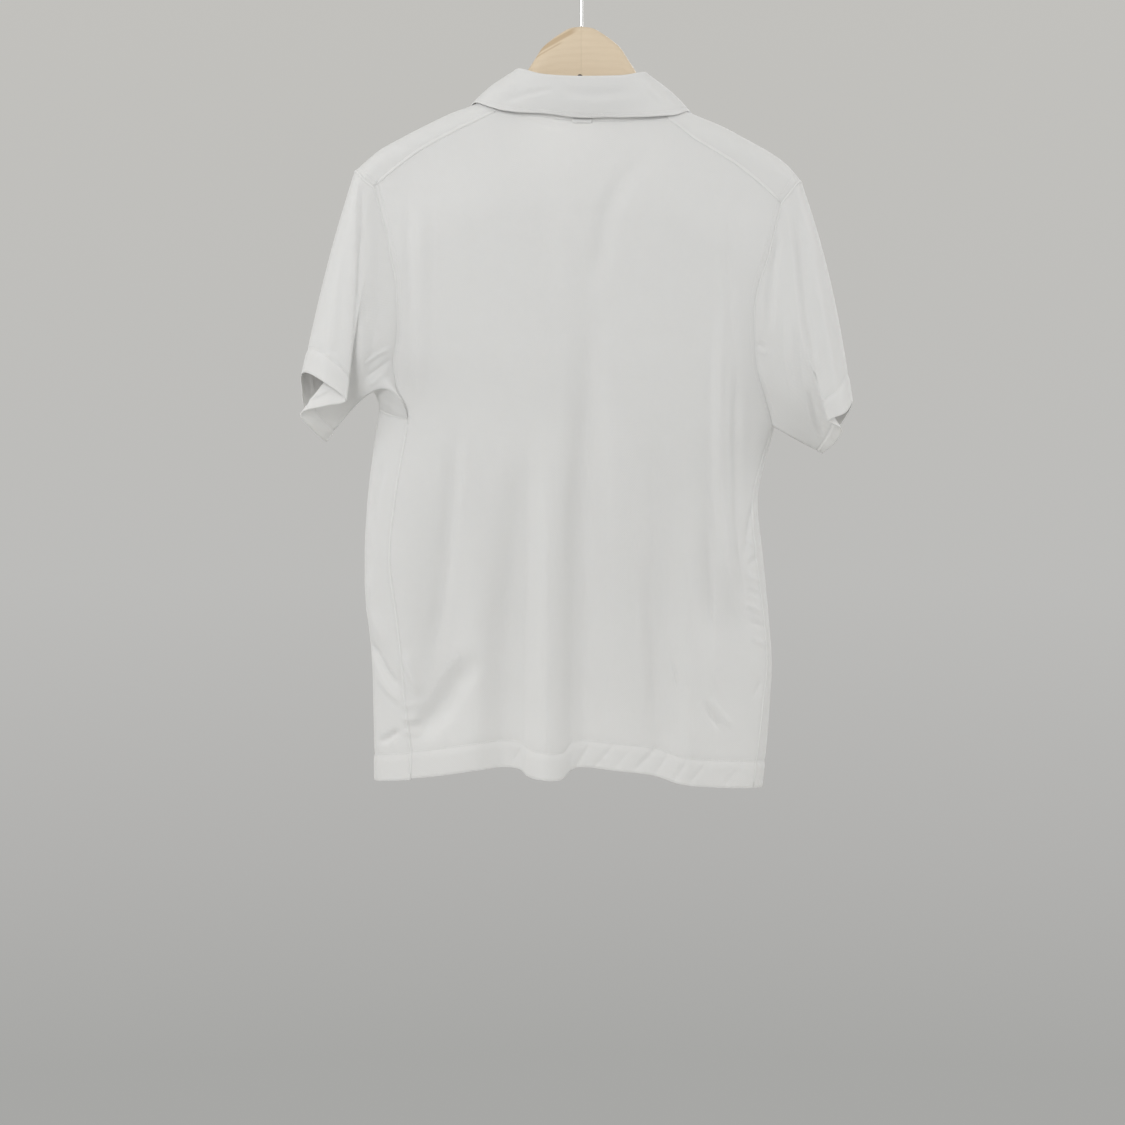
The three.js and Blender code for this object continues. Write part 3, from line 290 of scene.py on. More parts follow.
def make_armhole(side):
    back_rows = arm_places(side, ARMHOLE[side]["back"], True)
    end = ARMHOLE[side]["back"][-1][0]
    back_rows[-1] = (turn_at(end, seam_levels(end)[0], True), seam_levels(end)[0])
    front_rows = ARMHOLE[side]["front"][:-1]
    crest = ARMHOLE[side]["front"][-1][0]
    front_rows = [*front_rows, (crest, float(ridge_level(crest)) - OVER_FRONT)]
    front = sampled(arm_places(side, front_rows, False), FRONT_ARM)
    return {"back": sampled(back_rows, BACK_ARM), "front": front}


armholes = {side: make_armhole(side) for side in SIGN}


def side_seam(side, level):
    middle, half = girth(level)
    if side == "left":
        return turn_at(middle - half + read(BODY, "z", level, "seam_left"), level, True)
    x = middle + half - read(BODY, "z", level, "seam_right")
    return turn_at(x, level, True) - 2 * math.pi


def low_rows(is_back):
    """Rows of a panel from the hem to the underarm, as turns and levels."""
    column = "back" if is_back else "front"
    ends = {side: armholes[side]["back"][0] for side in armholes}
    lows = {"left": HEM["front"][0] + HEM_HEIGHT, "right": HEM["front"][-1] + HEM_HEIGHT}
    round_back = 2 * math.pi if is_back else 0
    rows = []
    for i in range(BODY_ROWS + 1):
        row = i / FINER["body"]
        up = max(0, row - 1) / (COARSE["body"] - 1)
        levels = {side: mix(lows[side], ends[side][1], up) for side in lows}
        turns = {side: float(side_seam(side, levels[side])) for side in lows}
        near = max(0, row - COARSE["body"] + 1)
        turns["left"] += near * (ends["left"][0] - side_seam("left", ends["left"][1]))
        shift = ends["right"][0] - 2 * math.pi - side_seam("right", ends["right"][1])
        turns["right"] += near * shift
        middle = (levels["left"] + levels["right"]) / 2
        edge = body_point(turns["left"], levels["left"])[0]

        def along(turn):
            x = body_point(turn, middle)[..., 0]
            share = np.clip((x - edge) / HEM_WIDTH, 0, 1)
            straight = mix(HEM["front"][0], HEM["front"][-1], share)
            wave = (read(HEM, "x", x, column) - straight) * (1 - ease(up * WAVE_FADE))
            level = mix(levels["left"], levels["right"], share) + wave
            return place(turn, level - HEM_HEIGHT * max(0, 1 - row))

        last = turns["right"] + round_back
        stops = spread(lambda turn: points_of(along(turn)), turns["left"], last, COLUMNS)
        rows.append(along(stops))
    return rows


def between(low, high, left_ends, right_ends):
    count = len(left_ends) - 1
    even = np.linspace(0, 1, COLUMNS + 1)
    share = np.stack([(low[:, 0] - low[0, 0]) / (low[-1, 0] - low[0, 0]), even], axis=1)
    low_off = low - mix(low[0], low[-1], share)
    high_off = high - mix(high[0], high[-1], share)
    rows = []
    for i in range(1, count + 1):
        ends = mix(left_ends[i], right_ends[i], share)
        rows.append(ends + mix(low_off, high_off, i / count))
    return rows


def shoulder_places(side, behind):
    end = ARMHOLE[side]["back"][-1][0]
    x = np.linspace(end, SIGN[side] * NECK_HALF, SHOULDER_COLUMNS + 1)
    level = seam_levels(x)[0 if behind else 1]
    return place(turn_at(x, level, behind), level)


def back_top():
    left, right = shoulder_places("left", True), shoulder_places("right", True)[::-1]
    t = np.linspace(0, 1, NECK_COLUMNS + 1)[1:-1]
    x = mix(-NECK_HALF, NECK_HALF, t)
    level = mix(left[-1, 1], right[0, 1], t) - NECK_DIP * (1 - (x / NECK_HALF) ** 2)
    return np.concatenate([left, place(turn_at(x, level, True), level), right])


# Back panel
# One piece from the left side seam to the right one, set behind the ridge of the shoulders.
# Its hem is turned up once and stitched, and it hangs in soft tubes over the lower half.
CAMERA = {"x": -20, "z": -646, "away": 2200}
WALL = 1.3
TURNED = {"row": FINER["body"], "soft": 2, "rise": 0.7, "groove": 0.55}
SEAM_CALM = 9
SEAM_ROWS = 3
END_FADE = 0.3
FACING = 3
NO_STITCH = 50
# Creases as paths on the plane of the hanger, with the half widths that show to the left and
# the right of a path that runs down, and the rise
BACK_CREASES = [
    ([(78, -198), (43, -240), (24, -277), (13, -367)], 16, 20, -3.2),
    ([(13, -336), (4, -431), (-2, -558), (-5, -685)], 26, 26, -2.8),
    ([(-23, -240), (-16, -314), (-21, -399)], 24, 24, 1.6),
    ([(-187, -246), (-184, -325), (-183, -415)], 7, 9, -1.2),
    ([(-172, -235), (-170, -325), (-171, -420), (-178, -516)], 11, 14, 1.6),
    ([(151, -261), (157, -357), (163, -452)], 9, 9, -1.6),
    ([(149, -357), (146, -463), (147, -558), (154, -643), (169, -722)], 11, 7, 3.2),
    ([(165, -399), (163, -505), (165, -601), (174, -685), (182, -738)], 8, 9, -3.0),
    ([(-129, -473), (-137, -579), (-144, -655), (-152, -717), (-166, -786)], 17, 13, -2.6),
    ([(-81, -495), (-86, -601), (-95, -728)], 18, 18, 1.4),
    ([(-112, -738), (-150, -800), (-186, -838)], 17, 22, -6.5),
    ([(-190, -736), (-182, -762), (-170, -790)], 6, 12, 2.6),
    ([(95, -749), (102, -785)], 3, 4, -1.2),
    ([(126, -789), (136, -808), (151, -827)], 4, 4, -1.8),
    ([(134, -787), (147, -806), (162, -821)], 5, 5, 1.3),
    ([(62, -643), (75, -728), (80, -828)], 13, 13, -2.0),
    ([(132, -601), (138, -664), (138, -728)], 9, 9, -1.4),
    ([(-72, -167), (-40, -175), (-4, -183)], 2.6, 2.6, 1.7),
    ([(-66, -174), (-40, -181), (-10, -188)], 3, 4, -1.4),
]
SIDE_CREASES = [
    ([(172, -620), (187, -630)], 3, 3, 1.3),
    ([(189, -638), (175, -649)], 3, 3, -1.5),
    ([(173, -658), (192, -667)], 3.5, 3.5, 1.4),
    ([(176, -675), (190, -682)], 3, 3, -1.3),
    ([(172, -689), (192, -698)], 3.5, 3.5, 1.5),
    ([(176, -707), (196, -715)], 3, 3, -1.4),
    ([(179, -726), (197, -733)], 3.5, 3.5, 1.2),
    ([(182, -579), (176, -611), (174, -648)], 4, 3, -2.0),
    ([(-192, -799), (-170, -796)], 3.4, 3.4, 1.8),
    ([(-192, -813), (-168, -811)], 3.4, 3.4, 1.9),
    ([(-191, -827), (-168, -826)], 3.4, 3.4, 1.8),
    ([(-207, -529), (-220, -569), (-225, -611)], 8, 7, -2.6),
    ([(-226, -643), (-222, -696), (-205, -744)], 12, 10, 2.4),
    ([(-226, -724), (-209, -757), (-190, -783)], 6, 5, -4.6),
    ([(-218, -762), (-205, -781), (-188, -798)], 5, 6, 1.8),
    ([(-216, -838), (-190, -822)], 7, 5, -3.2),
    ([(191, -770), (181, -791)], 4, 4, -1.0),
]
HEM_DRAGS = [
    ([(-62, -838), (-76, -862)], 3, 4, -1.0),
    ([(10, -836), (-8, -866)], 4, 4, -1.2),
    ([(37, -836), (8, -868)], 4, 5, -1.5),
    ([(58, -838), (30, -869)], 4, 4, -0.9),
    ([(82, -840), (52, -870)], 4, 5, -1.6),
    ([(94, -846), (72, -878)], 4, 4, -1.1),
    ([(114, -852), (95, -882)], 4, 5, -1.4),
    ([(134, -856), (110, -886)], 5, 4, -1.2),
    ([(168, -860), (148, -888)], 4, 4, -0.8),
]


def unit(vectors):
    return vectors / np.maximum(np.linalg.norm(vectors, axis=-1, keepdims=True), 1e-9)


def normals_of(grid, flip):
    normal = unit(np.cross(np.gradient(grid, axis=1), np.gradient(grid, axis=0)))
    return -normal if flip else normal


def lengths_over(grid):
    """Lengths along the rows and up the columns of a grid, for a weave that follows it."""
    across = np.linalg.norm(np.diff(grid, axis=1), axis=-1).cumsum(axis=1)
    upward = np.linalg.norm(np.diff(grid, axis=0), axis=-1).cumsum(axis=0)
    across = np.pad(across, ((0, 0), (1, 0)))
    upward = np.pad(upward, ((1, 0), (0, 0)))
    return across - across[:, -1:] / 2, upward


def seen(points):
    """Places of points on the plane of the hanger, as the camera sees them."""
    near = CAMERA["away"] / (CAMERA["away"] + points[..., 1:2])
    aim = np.array([CAMERA["x"], CAMERA["z"]])
    return aim + (points[..., (0, 2)] - aim) * near


def relief(places, creases):
    """Rises of creases at places on a plane. A crease fades at its sides and its ends."""
    total = np.zeros(places.shape[:-1])
    for path, left, right, depth in creases:
        path = np.array(path, float)
        steps = np.diff(path, axis=0)
        lengths = np.linalg.norm(steps, axis=1)
        begun = np.concatenate([[0], np.cumsum(lengths)])
        nearest = np.full(total.shape, np.inf)
        rise = np.zeros(total.shape)
        for start, step, length, before in zip(path, steps, lengths, begun):
            off = places - start
            along = np.clip(off @ step / length**2, 0, 1)
            gap = np.linalg.norm(off - along[..., None] * step, axis=-1)
            turn = step[0] * off[..., 1] - step[1] * off[..., 0]
            share = (before + along * length) / begun[-1]
            fade = ease(share / END_FADE) * ease((1 - share) / END_FADE)
            here = ease(1 - gap / np.where(turn > 0, right, left)) * fade
            rise = np.where(gap < nearest, here, rise)
            nearest = np.minimum(nearest, gap)
        total += depth * rise
    return total


def crease_rise(grid, normals, shown, hidden=()):
    """Rises of the creases that show to the camera and of those on the hidden side."""
    toward = relief(seen(grid), shown) * ease(-FACING * normals[..., 1])
    return toward + relief(grid[..., (0, 2)], hidden) * ease(FACING * normals[..., 1])


def hem_rise(rows):
    """Rise of a turned hem, by the number of rows from its edge."""
    band = TURNED["rise"] * ease((TURNED["row"] - rows) / TURNED["soft"])
    return band - TURNED["groove"] * np.exp(-(rows - TURNED["row"]) ** 2)


def seam_gap(grid, columns=2):
    """Distances to a line of stitches that lies a few columns in from each end of a row."""
    across, _ = lengths_over(grid)
    low = np.abs(across - across[:, columns:columns + 1])
    high = np.abs(across - across[:, -1 - columns:][:, :1])
    return np.minimum(low, high)


def nearer(*lines):
    """The run and the distance of the line of stitches that is nearest to each point."""
    runs, gaps = (np.stack([line[k] for line in lines]) for k in (0, 1))
    pick = gaps.argmin(axis=0)[None]
    return [np.take_along_axis(values, pick, axis=0)[0] for values in (runs, gaps)]


def shaped_grid(grid):
    """A grid of faces made in the shape of a grid of points, given in millimetres."""
    rows, columns = grid.shape[0] - 1, grid.shape[1] - 1
    made = bmesh.new()
    bmesh.ops.create_grid(made, x_segments=columns, y_segments=rows, size=1)
    made.verts.ensure_lookup_table()
    for vert, point in zip(made.verts, grid.reshape(-1, 3) / 1000):
        vert.co = point
    return made


def closed_tube(rings, sides):
    """A closed shape round rings of points, with an end face where a ring is open."""
    made = shaped_grid(rings)
    bmesh.ops.remove_doubles(made, verts=made.verts, dist=1e-6)
    bmesh.ops.holes_fill(made, edges=made.edges, sides=sides)
    bmesh.ops.recalc_face_normals(made, faces=made.faces)
    return made


def piece_of(name, made, finish, node):
    mesh = bpy.data.meshes.new(name)
    made.to_mesh(mesh)
    made.free()
    mesh.shade_smooth()
    mesh.materials.append(finish)
    piece = bpy.data.objects.new(name, mesh)
    bpy.context.scene.collection.objects.link(piece)
    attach(piece, "root")
    if node:
        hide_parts(node)
    return piece


def cloth_piece(name, grid, flip, stitches, node=None, thickness=WALL):
    """A thin shell of knit round a grid of points. Its second map holds the stitches."""
    columns = grid.shape[1]
    made = shaped_grid(grid)
    maps = {"cloth": lengths_over(grid), "stitches": stitches}
    layers = {key: made.loops.layers.uv.new(key) for key in maps}
    for face in made.faces:
        for loop in face.loops:
            i, j = divmod(loop.vert.index, columns)
            for key, (u, v) in maps.items():
                loop[layers[key]].uv = (u[i, j] / 1000, v[i, j] / 1000)
    if flip:
        bmesh.ops.reverse_faces(made, faces=made.faces)
    piece = piece_of(name, made, knit, node)
    wall = piece.modifiers.new("wall", "SOLIDIFY")
    wall.thickness = thickness / 1000
    wall.offset = 0
    even = piece.modifiers.new("even", "WEIGHTED_NORMAL")
    even.keep_sharp = True
    return piece


class Wire:
    """A socket of a finish, so that sums on sockets read as plain maths."""

    def __init__(self, finish, socket):
        self.finish = finish
        self.socket = socket

    def maths(self, operation, *values):
        inputs = dict(enumerate(values or [self]))
        return self.finish.node("ShaderNodeMath", {"operation": operation}, inputs)

    def __add__(self, other):
        return self.maths("ADD", self, other)

    def __sub__(self, other):
        return self.maths("SUBTRACT", self, other)

    def __rsub__(self, other):
        return self.maths("SUBTRACT", other, self)

    def __mul__(self, other):
        return self.maths("MULTIPLY", self, other)

    def __truediv__(self, other):
        return self.maths("DIVIDE", self, other)

    __radd__ = __add__
    __rmul__ = __mul__

    def sine(self):
        return self.maths("SINE", self)

    def between(self, low, high):
        inputs = {"Value": self, "From Min": low, "From Max": high}
        return self.finish.node("ShaderNodeMapRange", {"interpolation_type": "SMOOTHSTEP"}, inputs)

    def band(self, low, high, soft):
        return self.between(low - soft, low + soft) * (1 - self.between(high - soft, high + soft))


class Nodes:
    """A tree whose nodes are added by one method."""

    def __init__(self, tree):
        self.tree = tree

    def feed(self, socket, value):
        if isinstance(value, Wire):
            self.tree.links.new(value.socket, socket)
        else:
            socket.default_value = value

    def node(self, kind, settings, inputs, output=0):
        made = self.tree.nodes.new(kind)
        for key, value in settings.items():
            setattr(made, key, value)
        for key, value in inputs.items():
            self.feed(made.inputs[key], value)
        return Wire(self, made.outputs[output])


class Finish(Nodes):
    """A material round one surface shader."""

    def __init__(self, name, **constants):
        self.material = bpy.data.materials.new(name)
        self.material.use_nodes = True
        super().__init__(self.material.node_tree)
        self.surface = self.tree.nodes["Principled BSDF"]
        self.wears(**constants)

    def map(self, name):
        found = self.node("ShaderNodeUVMap", {"uv_map": name}, {})
        return [self.node("ShaderNodeSeparateXYZ", {}, {0: found}, k) for k in (0, 1)]

    def place(self):
        return self.node("ShaderNodeTexCoord", {}, {}, "Object")

    def noise(self, scale, detail=2.0, vector=None):
        inputs = {"Vector": vector or self.place(), "Scale": scale, "Detail": detail}
        return self.node("ShaderNodeTexNoise", {}, inputs)

    def blend(self, share, a, b):
        inputs = {0: share, 6: (*a, 1) if isinstance(a, tuple) else a, 7: (*b, 1)}
        return self.node("ShaderNodeMix", {"data_type": "RGBA"}, inputs, 2)

    def bump(self, height, distance, strength=1.0):
        inputs = {"Height": height, "Distance": distance, "Strength": strength}
        return self.node("ShaderNodeBump", {}, inputs)

    def wears(self, **inputs):
        for socket, value in inputs.items():
            self.feed(self.surface.inputs[socket.replace("_", " ")], value)
        return self.material


WHITE = (0.855, 0.853, 0.847)
WHITE_DEEP = (0.8, 0.8, 0.797)
THREAD = (0.93, 0.93, 0.925)
CELL = 0.0011
STITCH = 0.0026
SOFT_CLOTH = {"Sheen_Weight": 0.25, "Sheen_Roughness": 0.45,
              "Subsurface_Radius": (1.0, 0.95, 0.9)}


def white_knit():
    finish = Finish("white_knit", **SOFT_CLOTH, Subsurface_Weight=0.35,
                    Subsurface_Scale=0.005, Specular_IOR_Level=0.35)
    u, v = finish.map("cloth")
    run, gap = finish.map("stitches")
    cells_and_shade = (u * (math.pi / CELL)).sine() * (v * (math.pi / CELL)).sine()
    soft = finish.noise(9.0)
    fuzz = finish.noise(1400.0, 1.0)
    dash = (run * (2 * math.pi / STITCH)).sine().between(-0.75, -0.35)
    thread = (1 - gap.between(0.0002, 0.0005)) * dash
    groove_and_shade = 1 - gap.between(0.0003, 0.0022)
    # Painted shade: the colour darkens a little in the knit's cells and in the groove beside each
    # line of stitches; the soft noise is tone
    shade = cells_and_shade * 0.15 + soft * 0.5 + groove_and_shade * 0.1
    colour = finish.blend(shade, WHITE, WHITE_DEEP)
    height = cells_and_shade * 0.25 + fuzz * 0.2 - groove_and_shade * 0.5 + thread * 1.8
    return finish.wears(
        Base_Color=finish.blend(thread, colour, THREAD),
        Roughness=0.72 + fuzz * 0.16 - thread * 0.12,
        Normal=finish.bump(height, 0.00022, 0.7))


knit = white_knit()

back_low = low_rows(True)
back_top_places = back_top()
back_places = np.array([*back_low, *between(
    back_low[-1], back_top_places, armholes["left"]["back"], armholes["right"]["back"])])
back_grid = points_of(back_places)


def area_of(grid):
    a, b = grid[1:, 1:] - grid[:-1, :-1], grid[1:, :-1] - grid[:-1, 1:]
    return np.linalg.norm(np.cross(a, b), axis=-1).sum() / 2e6


def calm_armholes(grid):
    """A share from 0 on the armholes to 1 a little way off, and 1 along the side seams."""
    across, _ = lengths_over(grid)
    end = np.minimum(across - across[:, :1], across[:, -1:] - across)
    calm = ease(end / SEAM_CALM)
    calm[:BODY_ROWS - SEAM_ROWS] = 1
    return calm


def creased_body(grid, flip):
    """A panel with its creases, the thickness of its hem, and the ease of its seams."""
    normals = normals_of(grid, flip)
    shown = BACK_CREASES + SIDE_CREASES + HEM_DRAGS
    rise = crease_rise(grid, normals, shown, FRONT_CREASES) * calm_armholes(grid)
    rise += hem_rise(np.arange(len(grid)))[:, None]
    return grid + normals * rise[..., None]


def body_stitches(grid):
    across, upward = lengths_over(grid)
    hem = np.abs(upward - upward[TURNED["row"]])
    gap = seam_gap(grid)
    gap[:BODY_ROWS] = NO_STITCH
    return nearer((across, hem), (upward, gap))


FRONT_CREASES = [
    ([(-62, -250), (-40, -330), (-30, -420)], 16, 20, -2.4),
    ([(60, -240), (46, -330), (40, -440)], 20, 16, -2.2),
    ([(-168, -300), (-160, -400), (-166, -520)], 10, 13, 1.8),
    ([(160, -300), (152, -410), (158, -540)], 12, 10, 2.0),
    ([(-110, -420), (-122, -560), (-130, -700)], 15, 12, -2.2),
    ([(112, -460), (124, -590), (120, -720)], 13, 15, -2.4),
    ([(20, -560), (14, -660), (18, -760)], 14, 14, 1.6),
    ([(-190, -600), (-176, -640), (-158, -664)], 6, 7, -1.8),
    ([(178, -640), (162, -676), (150, -716)], 6, 5, -2.0),
    ([(-176, -740), (-160, -772), (-146, -790)], 5, 6, 1.6),
    ([(-40, -838), (-50, -860)], 3, 4, -1.0),
    ([(52, -842), (64, -866)], 4, 3, -1.1),
    ([(118, -846), (130, -872)], 4, 3, -1.2),
]
back_cloth = creased_body(back_grid, False)
back_piece = cloth_piece("back_panel", back_cloth, False, body_stitches(back_grid), "back")
area_of(back_grid)

# Front panel
# One piece that reaches over the ridge to the shoulder seams, with a deep round neckline.
FRONT_NECK = {
    "at": [0, 1, 2, 3, 4, 5],
    "x": [88, 93, 88, 72, 44, 0],
    "from_ridge": [-30, 0, 26, 52, 74, 88],
}
OVER_TURNED = 24
OVER_TURN_COLUMNS = 3
# Rounds of evening out, which take the kinks out of the rows between underarm and neckline
RELAX = {"row": 150, "column": 30, "rounds": 80}


def neck_place(side, t):
    _, front, ridge = seam_levels(SIGN[side] * NECK_HALF)
    table = dict(FRONT_NECK, from_ridge=[ridge - front, *FRONT_NECK["from_ridge"][1:]])
    at = t * FRONT_NECK["at"][-1]
    x = SIGN[side] * read(table, "at", at, "x")
    level = ridge_level(x) - read(table, "at", at, "from_ridge")
    return place(turn_at(x, level, False), level)


def front_top():
    left, right = shoulder_places("left", False), shoulder_places("right", False)[::-1]
    halves = []
    for side in SIGN:
        stops = spread(lambda t: points_of(neck_place(side, t)), 0, 1, NECK_COLUMNS // 2)
        halves.append(neck_place(side, stops))
    return np.concatenate([left, halves[0][1:], halves[1][1:-1][::-1], right])


def over_rows(top):
    j = np.arange(COLUMNS + 1)
    from_end = np.minimum(j, COLUMNS - j)
    is_left = j < COLUMNS / 2
    sign = np.where(is_left, -1, 1)
    top_x = points_of(top)[:, 0]
    last = COARSE["over"]
    rows = []
    for k in np.arange(OVER_ROWS + 1) / FINER["over"]:
        arm = np.where(is_left, smooth(OVER["left"], k / last), smooth(OVER["right"], k / last))
        share = np.clip(from_end / SHOULDER_COLUMNS, 0, 1)
        row = over_place(mix(arm, sign * smooth(OVER["neck"], k / last), share), k)
        turned = ease((from_end - SHOULDER_COLUMNS) / (OVER_TURN_COLUMNS * FINER["columns"]))
        _, front, ridge = seam_levels(sign * NECK_HALF)
        below = mix(front - ridge + OVER_FRONT, OVER_TURNED, turned)
        wide = mix(OVER["neck"][0] / OVER["neck"][-1], 1, turned)
        left_over = 1 - k / last
        level = top[:, 1] - below * left_over
        neck = place(turn_at(top_x * mix(1, wide, left_over), level, False), level)
        rows.append(np.where((from_end > SHOULDER_COLUMNS)[:, None], neck, row))
    return rows


front_low = low_rows(False)
front_top_places = front_top()
front_over = over_rows(front_top_places)
front_places = np.array([*front_low, *between(
    front_low[-1], front_over[0], armholes["left"]["front"], armholes["right"]["front"]),
    *front_over[1:]])
relaxed = front_places[RELAX["row"]:, RELAX["column"]:-RELAX["column"]]
for _ in range(RELAX["rounds"]):
    beside = relaxed[1:-1, :-2] + relaxed[1:-1, 2:]
    relaxed[1:-1, 1:-1] = (relaxed[:-2, 1:-1] + relaxed[2:, 1:-1] + beside) / 4
front_grid = points_of(front_places)
front_cloth = creased_body(front_grid, True)
front_piece = cloth_piece("front_panel", front_cloth, True, body_stitches(front_grid), "front")
area_of(front_grid)

# Sleeves
# Each is one piece, sewn into its armhole and closed by a seam under the arm. The cuff is
# turned up once. They hang down from the hanger's ends.
CUFF = {
    "left": [(-272, 4, -517), (-284, -22, -505), (-293.5, -38, -491), (-267, -50, -484),
             (-244, -56, -479), (-268, -55, -458.5), (-290.5, -28, -447.5), (-297, 12, -462),
             (-297, 44, -484), (-284, 44, -504)],
    "right": [(256, 4, -529), (268, -20, -518), (271, -40, -507), (256, -50, -499),
              (271, -48, -492), (284, -18, -477), (285, 18, -485), (278, 48, -501),
              (266, 40, -518)],
}
FULLNESS = {"left": 9, "right": 10}
UNDERARM_PUSH = {"left": (-14, 38), "right": (-6, -2)}
UNDERARM_SKEW = 0.65
SLEEVE_LEAN = 0.45
SLEEVE_ROWS = 80
CUFF_STOPS = 1201
SLEEVE_CREASES = {
    "left": [
        ([(-238, -222), (-238, -295), (-241, -357), (-245, -415), (-250, -480)], 14, 3, 2.4),
        ([(-234, -215), (-234, -280), (-236, -340), (-238, -400)], 2.6, 6, -1.2),
        ([(-229, -380), (-234, -430), (-238, -480)], 12, 12, 3.0),
        ([(-198, -417), (-216, -425), (-233, -437)], 3, 3.5, 1.6),
        ([(-197, -426), (-218, -442), (-232, -452)], 3, 3, -1.6),
        ([(-199, -437), (-214, -450), (-228, -461)], 3, 3, 1.3),
        ([(-209, -476), (-199, -483), (-187, -488)], 3, 3, 1.4),
        ([(-206, -487), (-197, -495), (-188, -504)], 3, 3, 1.3),
        ([(-207, -481), (-198, -489), (-187, -496)], 2.5, 2.5, -1.6),
        ([(-286, -427), (-269, -420), (-252, -423)], 4, 3, -1.0),
        ([(-223, -261), (-225, -346), (-222, -410)], 8, 10, 0.8),
    ],
    "right": [
        ([(220, -249), (231, -310), (237, -378), (248, -446), (255, -478)], 9, 10, -3.6),
        ([(233, -256), (244, -320), (258, -399), (272, -468)], 9, 9, 3.0),
        ([(196, -257), (201, -285)], 2.5, 2.5, -1.8),
        ([(202, -257), (206, -289)], 2.5, 2.5, -1.8),
        ([(208, -261), (211, -285)], 2.5, 2.5, -1.6),
        ([(208, -288), (200, -357), (198, -410)], 8, 8, -2.4),
        ([(183, -413), (197, -417)], 3, 3, -2.0),
        ([(184, -420), (198, -425)], 3, 3, 1.4),
        ([(186, -442), (195, -471), (204, -501)], 5, 4, -2.2),
        ([(221, -367), (223, -431), (232, -495)], 9, 10, 1.6),
        ([(240, -458), (249, -496), (261, -522)], 6, 6, -2.4),
    ],
}
HIDDEN_SLEEVE_CREASES = {
    "left": [
        ([(-262, -280), (-268, -360), (-278, -440)], 8, 9, -1.8),
        ([(-236, -300), (-240, -380), (-252, -450)], 9, 7, 1.6),
        ([(-214, -430), (-236, -444)], 3, 4, -1.5),
    ],
    "right": [
        ([(252, -290), (258, -370), (268, -450)], 9, 8, -1.8),
        ([(226, -310), (232, -390), (246, -460)], 7, 9, 1.6),
        ([(206, -440), (226, -456)], 4, 3, -1.5),
    ],
}


def closed_curve(points, share):
    """A closed centripetal curve through points, at shares of its length."""
    points = np.array(points, float)
    count = len(points)

    def at(t):
        i = np.floor(t * count).astype(int)
        w = (t * count - i)[:, None]
        p = [points[(i + k) % count] for k in (-1, 0, 1, 2)]
        d = [np.sqrt(np.linalg.norm(p[k + 1] - p[k], axis=1))[:, None] for k in range(3)]
        slope_a = (p[1] - p[0]) / d[0] - (p[2] - p[0]) / (d[0] + d[1]) + (p[2] - p[1]) / d[1]
        slope_b = (p[2] - p[1]) / d[1] - (p[3] - p[1]) / (d[1] + d[2]) + (p[3] - p[2]) / d[2]
        a, b = slope_a * d[1], slope_b * d[1]
        cubic = -3 * p[1] + 3 * p[2] - 2 * a - b, 2 * p[1] - 2 * p[2] + a + b
        return p[1] + a * w + cubic[0] * w**2 + cubic[1] * w**3

    return at(stops_at(share, at, np.linspace(0, 1, CUFF_STOPS)))


def sleeve_grid(side):
    column = 0 if side == "left" else -1
    up_back = back_grid[BODY_ROWS:, column]
    down_front = front_grid[BODY_ROWS:, column][::-1][1:]
    loop = np.concatenate([up_back, down_front])
    k = np.concatenate([
        np.arange(BACK_ARM + 1) / FINER["back_arm"],
        COARSE["back_arm"] + np.arange(1, OVER_ROWS + 1) / FINER["over"],
        COARSE["back_arm"] + COARSE["over"] + np.arange(1, FRONT_ARM + 1) / FINER["front_arm"],
    ])
    share = k / k[-1]
    cuff = closed_curve(CUFF[side], share)
    lean = np.full_like(share, SIGN[side] * SLEEVE_LEAN)
    turn = 2 * math.pi * share
    out = unit(np.stack([lean, -np.sin(turn), -np.cos(turn)], axis=-1))
    under = ease(np.abs(2 * share - 1) * 2 - 1)
    rows = []
    for down in np.linspace(0, 1, SLEEVE_ROWS + 1):
        bulge = FULLNESS[side] * math.sin(math.pi * down) * np.sin(math.pi * share)
        row = mix(loop, cuff, down) + out * bulge[:, None]
        push = under * math.sin(math.pi * down**UNDERARM_SKEW)
        row[:, 1] += UNDERARM_PUSH[side][0] * push
        row[:, 2] += UNDERARM_PUSH[side][1] * push
        rows.append(row)
    return np.array(rows)


def sleeve(side):
    grid = sleeve_grid(side)
    flip = side == "right"
    normals = normals_of(grid, flip)
    across, upward = lengths_over(grid)
    rise = crease_rise(grid, normals, SLEEVE_CREASES[side], HIDDEN_SLEEVE_CREASES[side])
    calm = ease(upward / SEAM_CALM) * ease((across - across[:, :1]) / SEAM_CALM)
    rise *= calm * ease((across[:, -1:] - across) / SEAM_CALM)
    from_edge = SLEEVE_ROWS - np.arange(SLEEVE_ROWS + 1)
    rise += hem_rise(from_edge)[:, None]
    cuff = np.abs(upward - upward[-1 - TURNED["row"]])
    grid = grid + normals * rise[..., None]
    piece = cloth_piece(f"sleeve_{side}_cloth", grid, flip, (across, cuff), f"sleeve_{side}")
    area_of(grid)
    return grid


sleeve_grids = {side: sleeve(side) for side in SIGN}

# Seams
# Where two pieces are sewn together the turned edges inside lift a low soft ridge. It runs
# round each armhole, along each shoulder and down each side.
SEAM = {"half": 1.7, "rise": 0.85, "sides": 12, "sunk": 0.35, "fade": 3, "end": 0.5}
SHOULDER_SEAM = 1.35


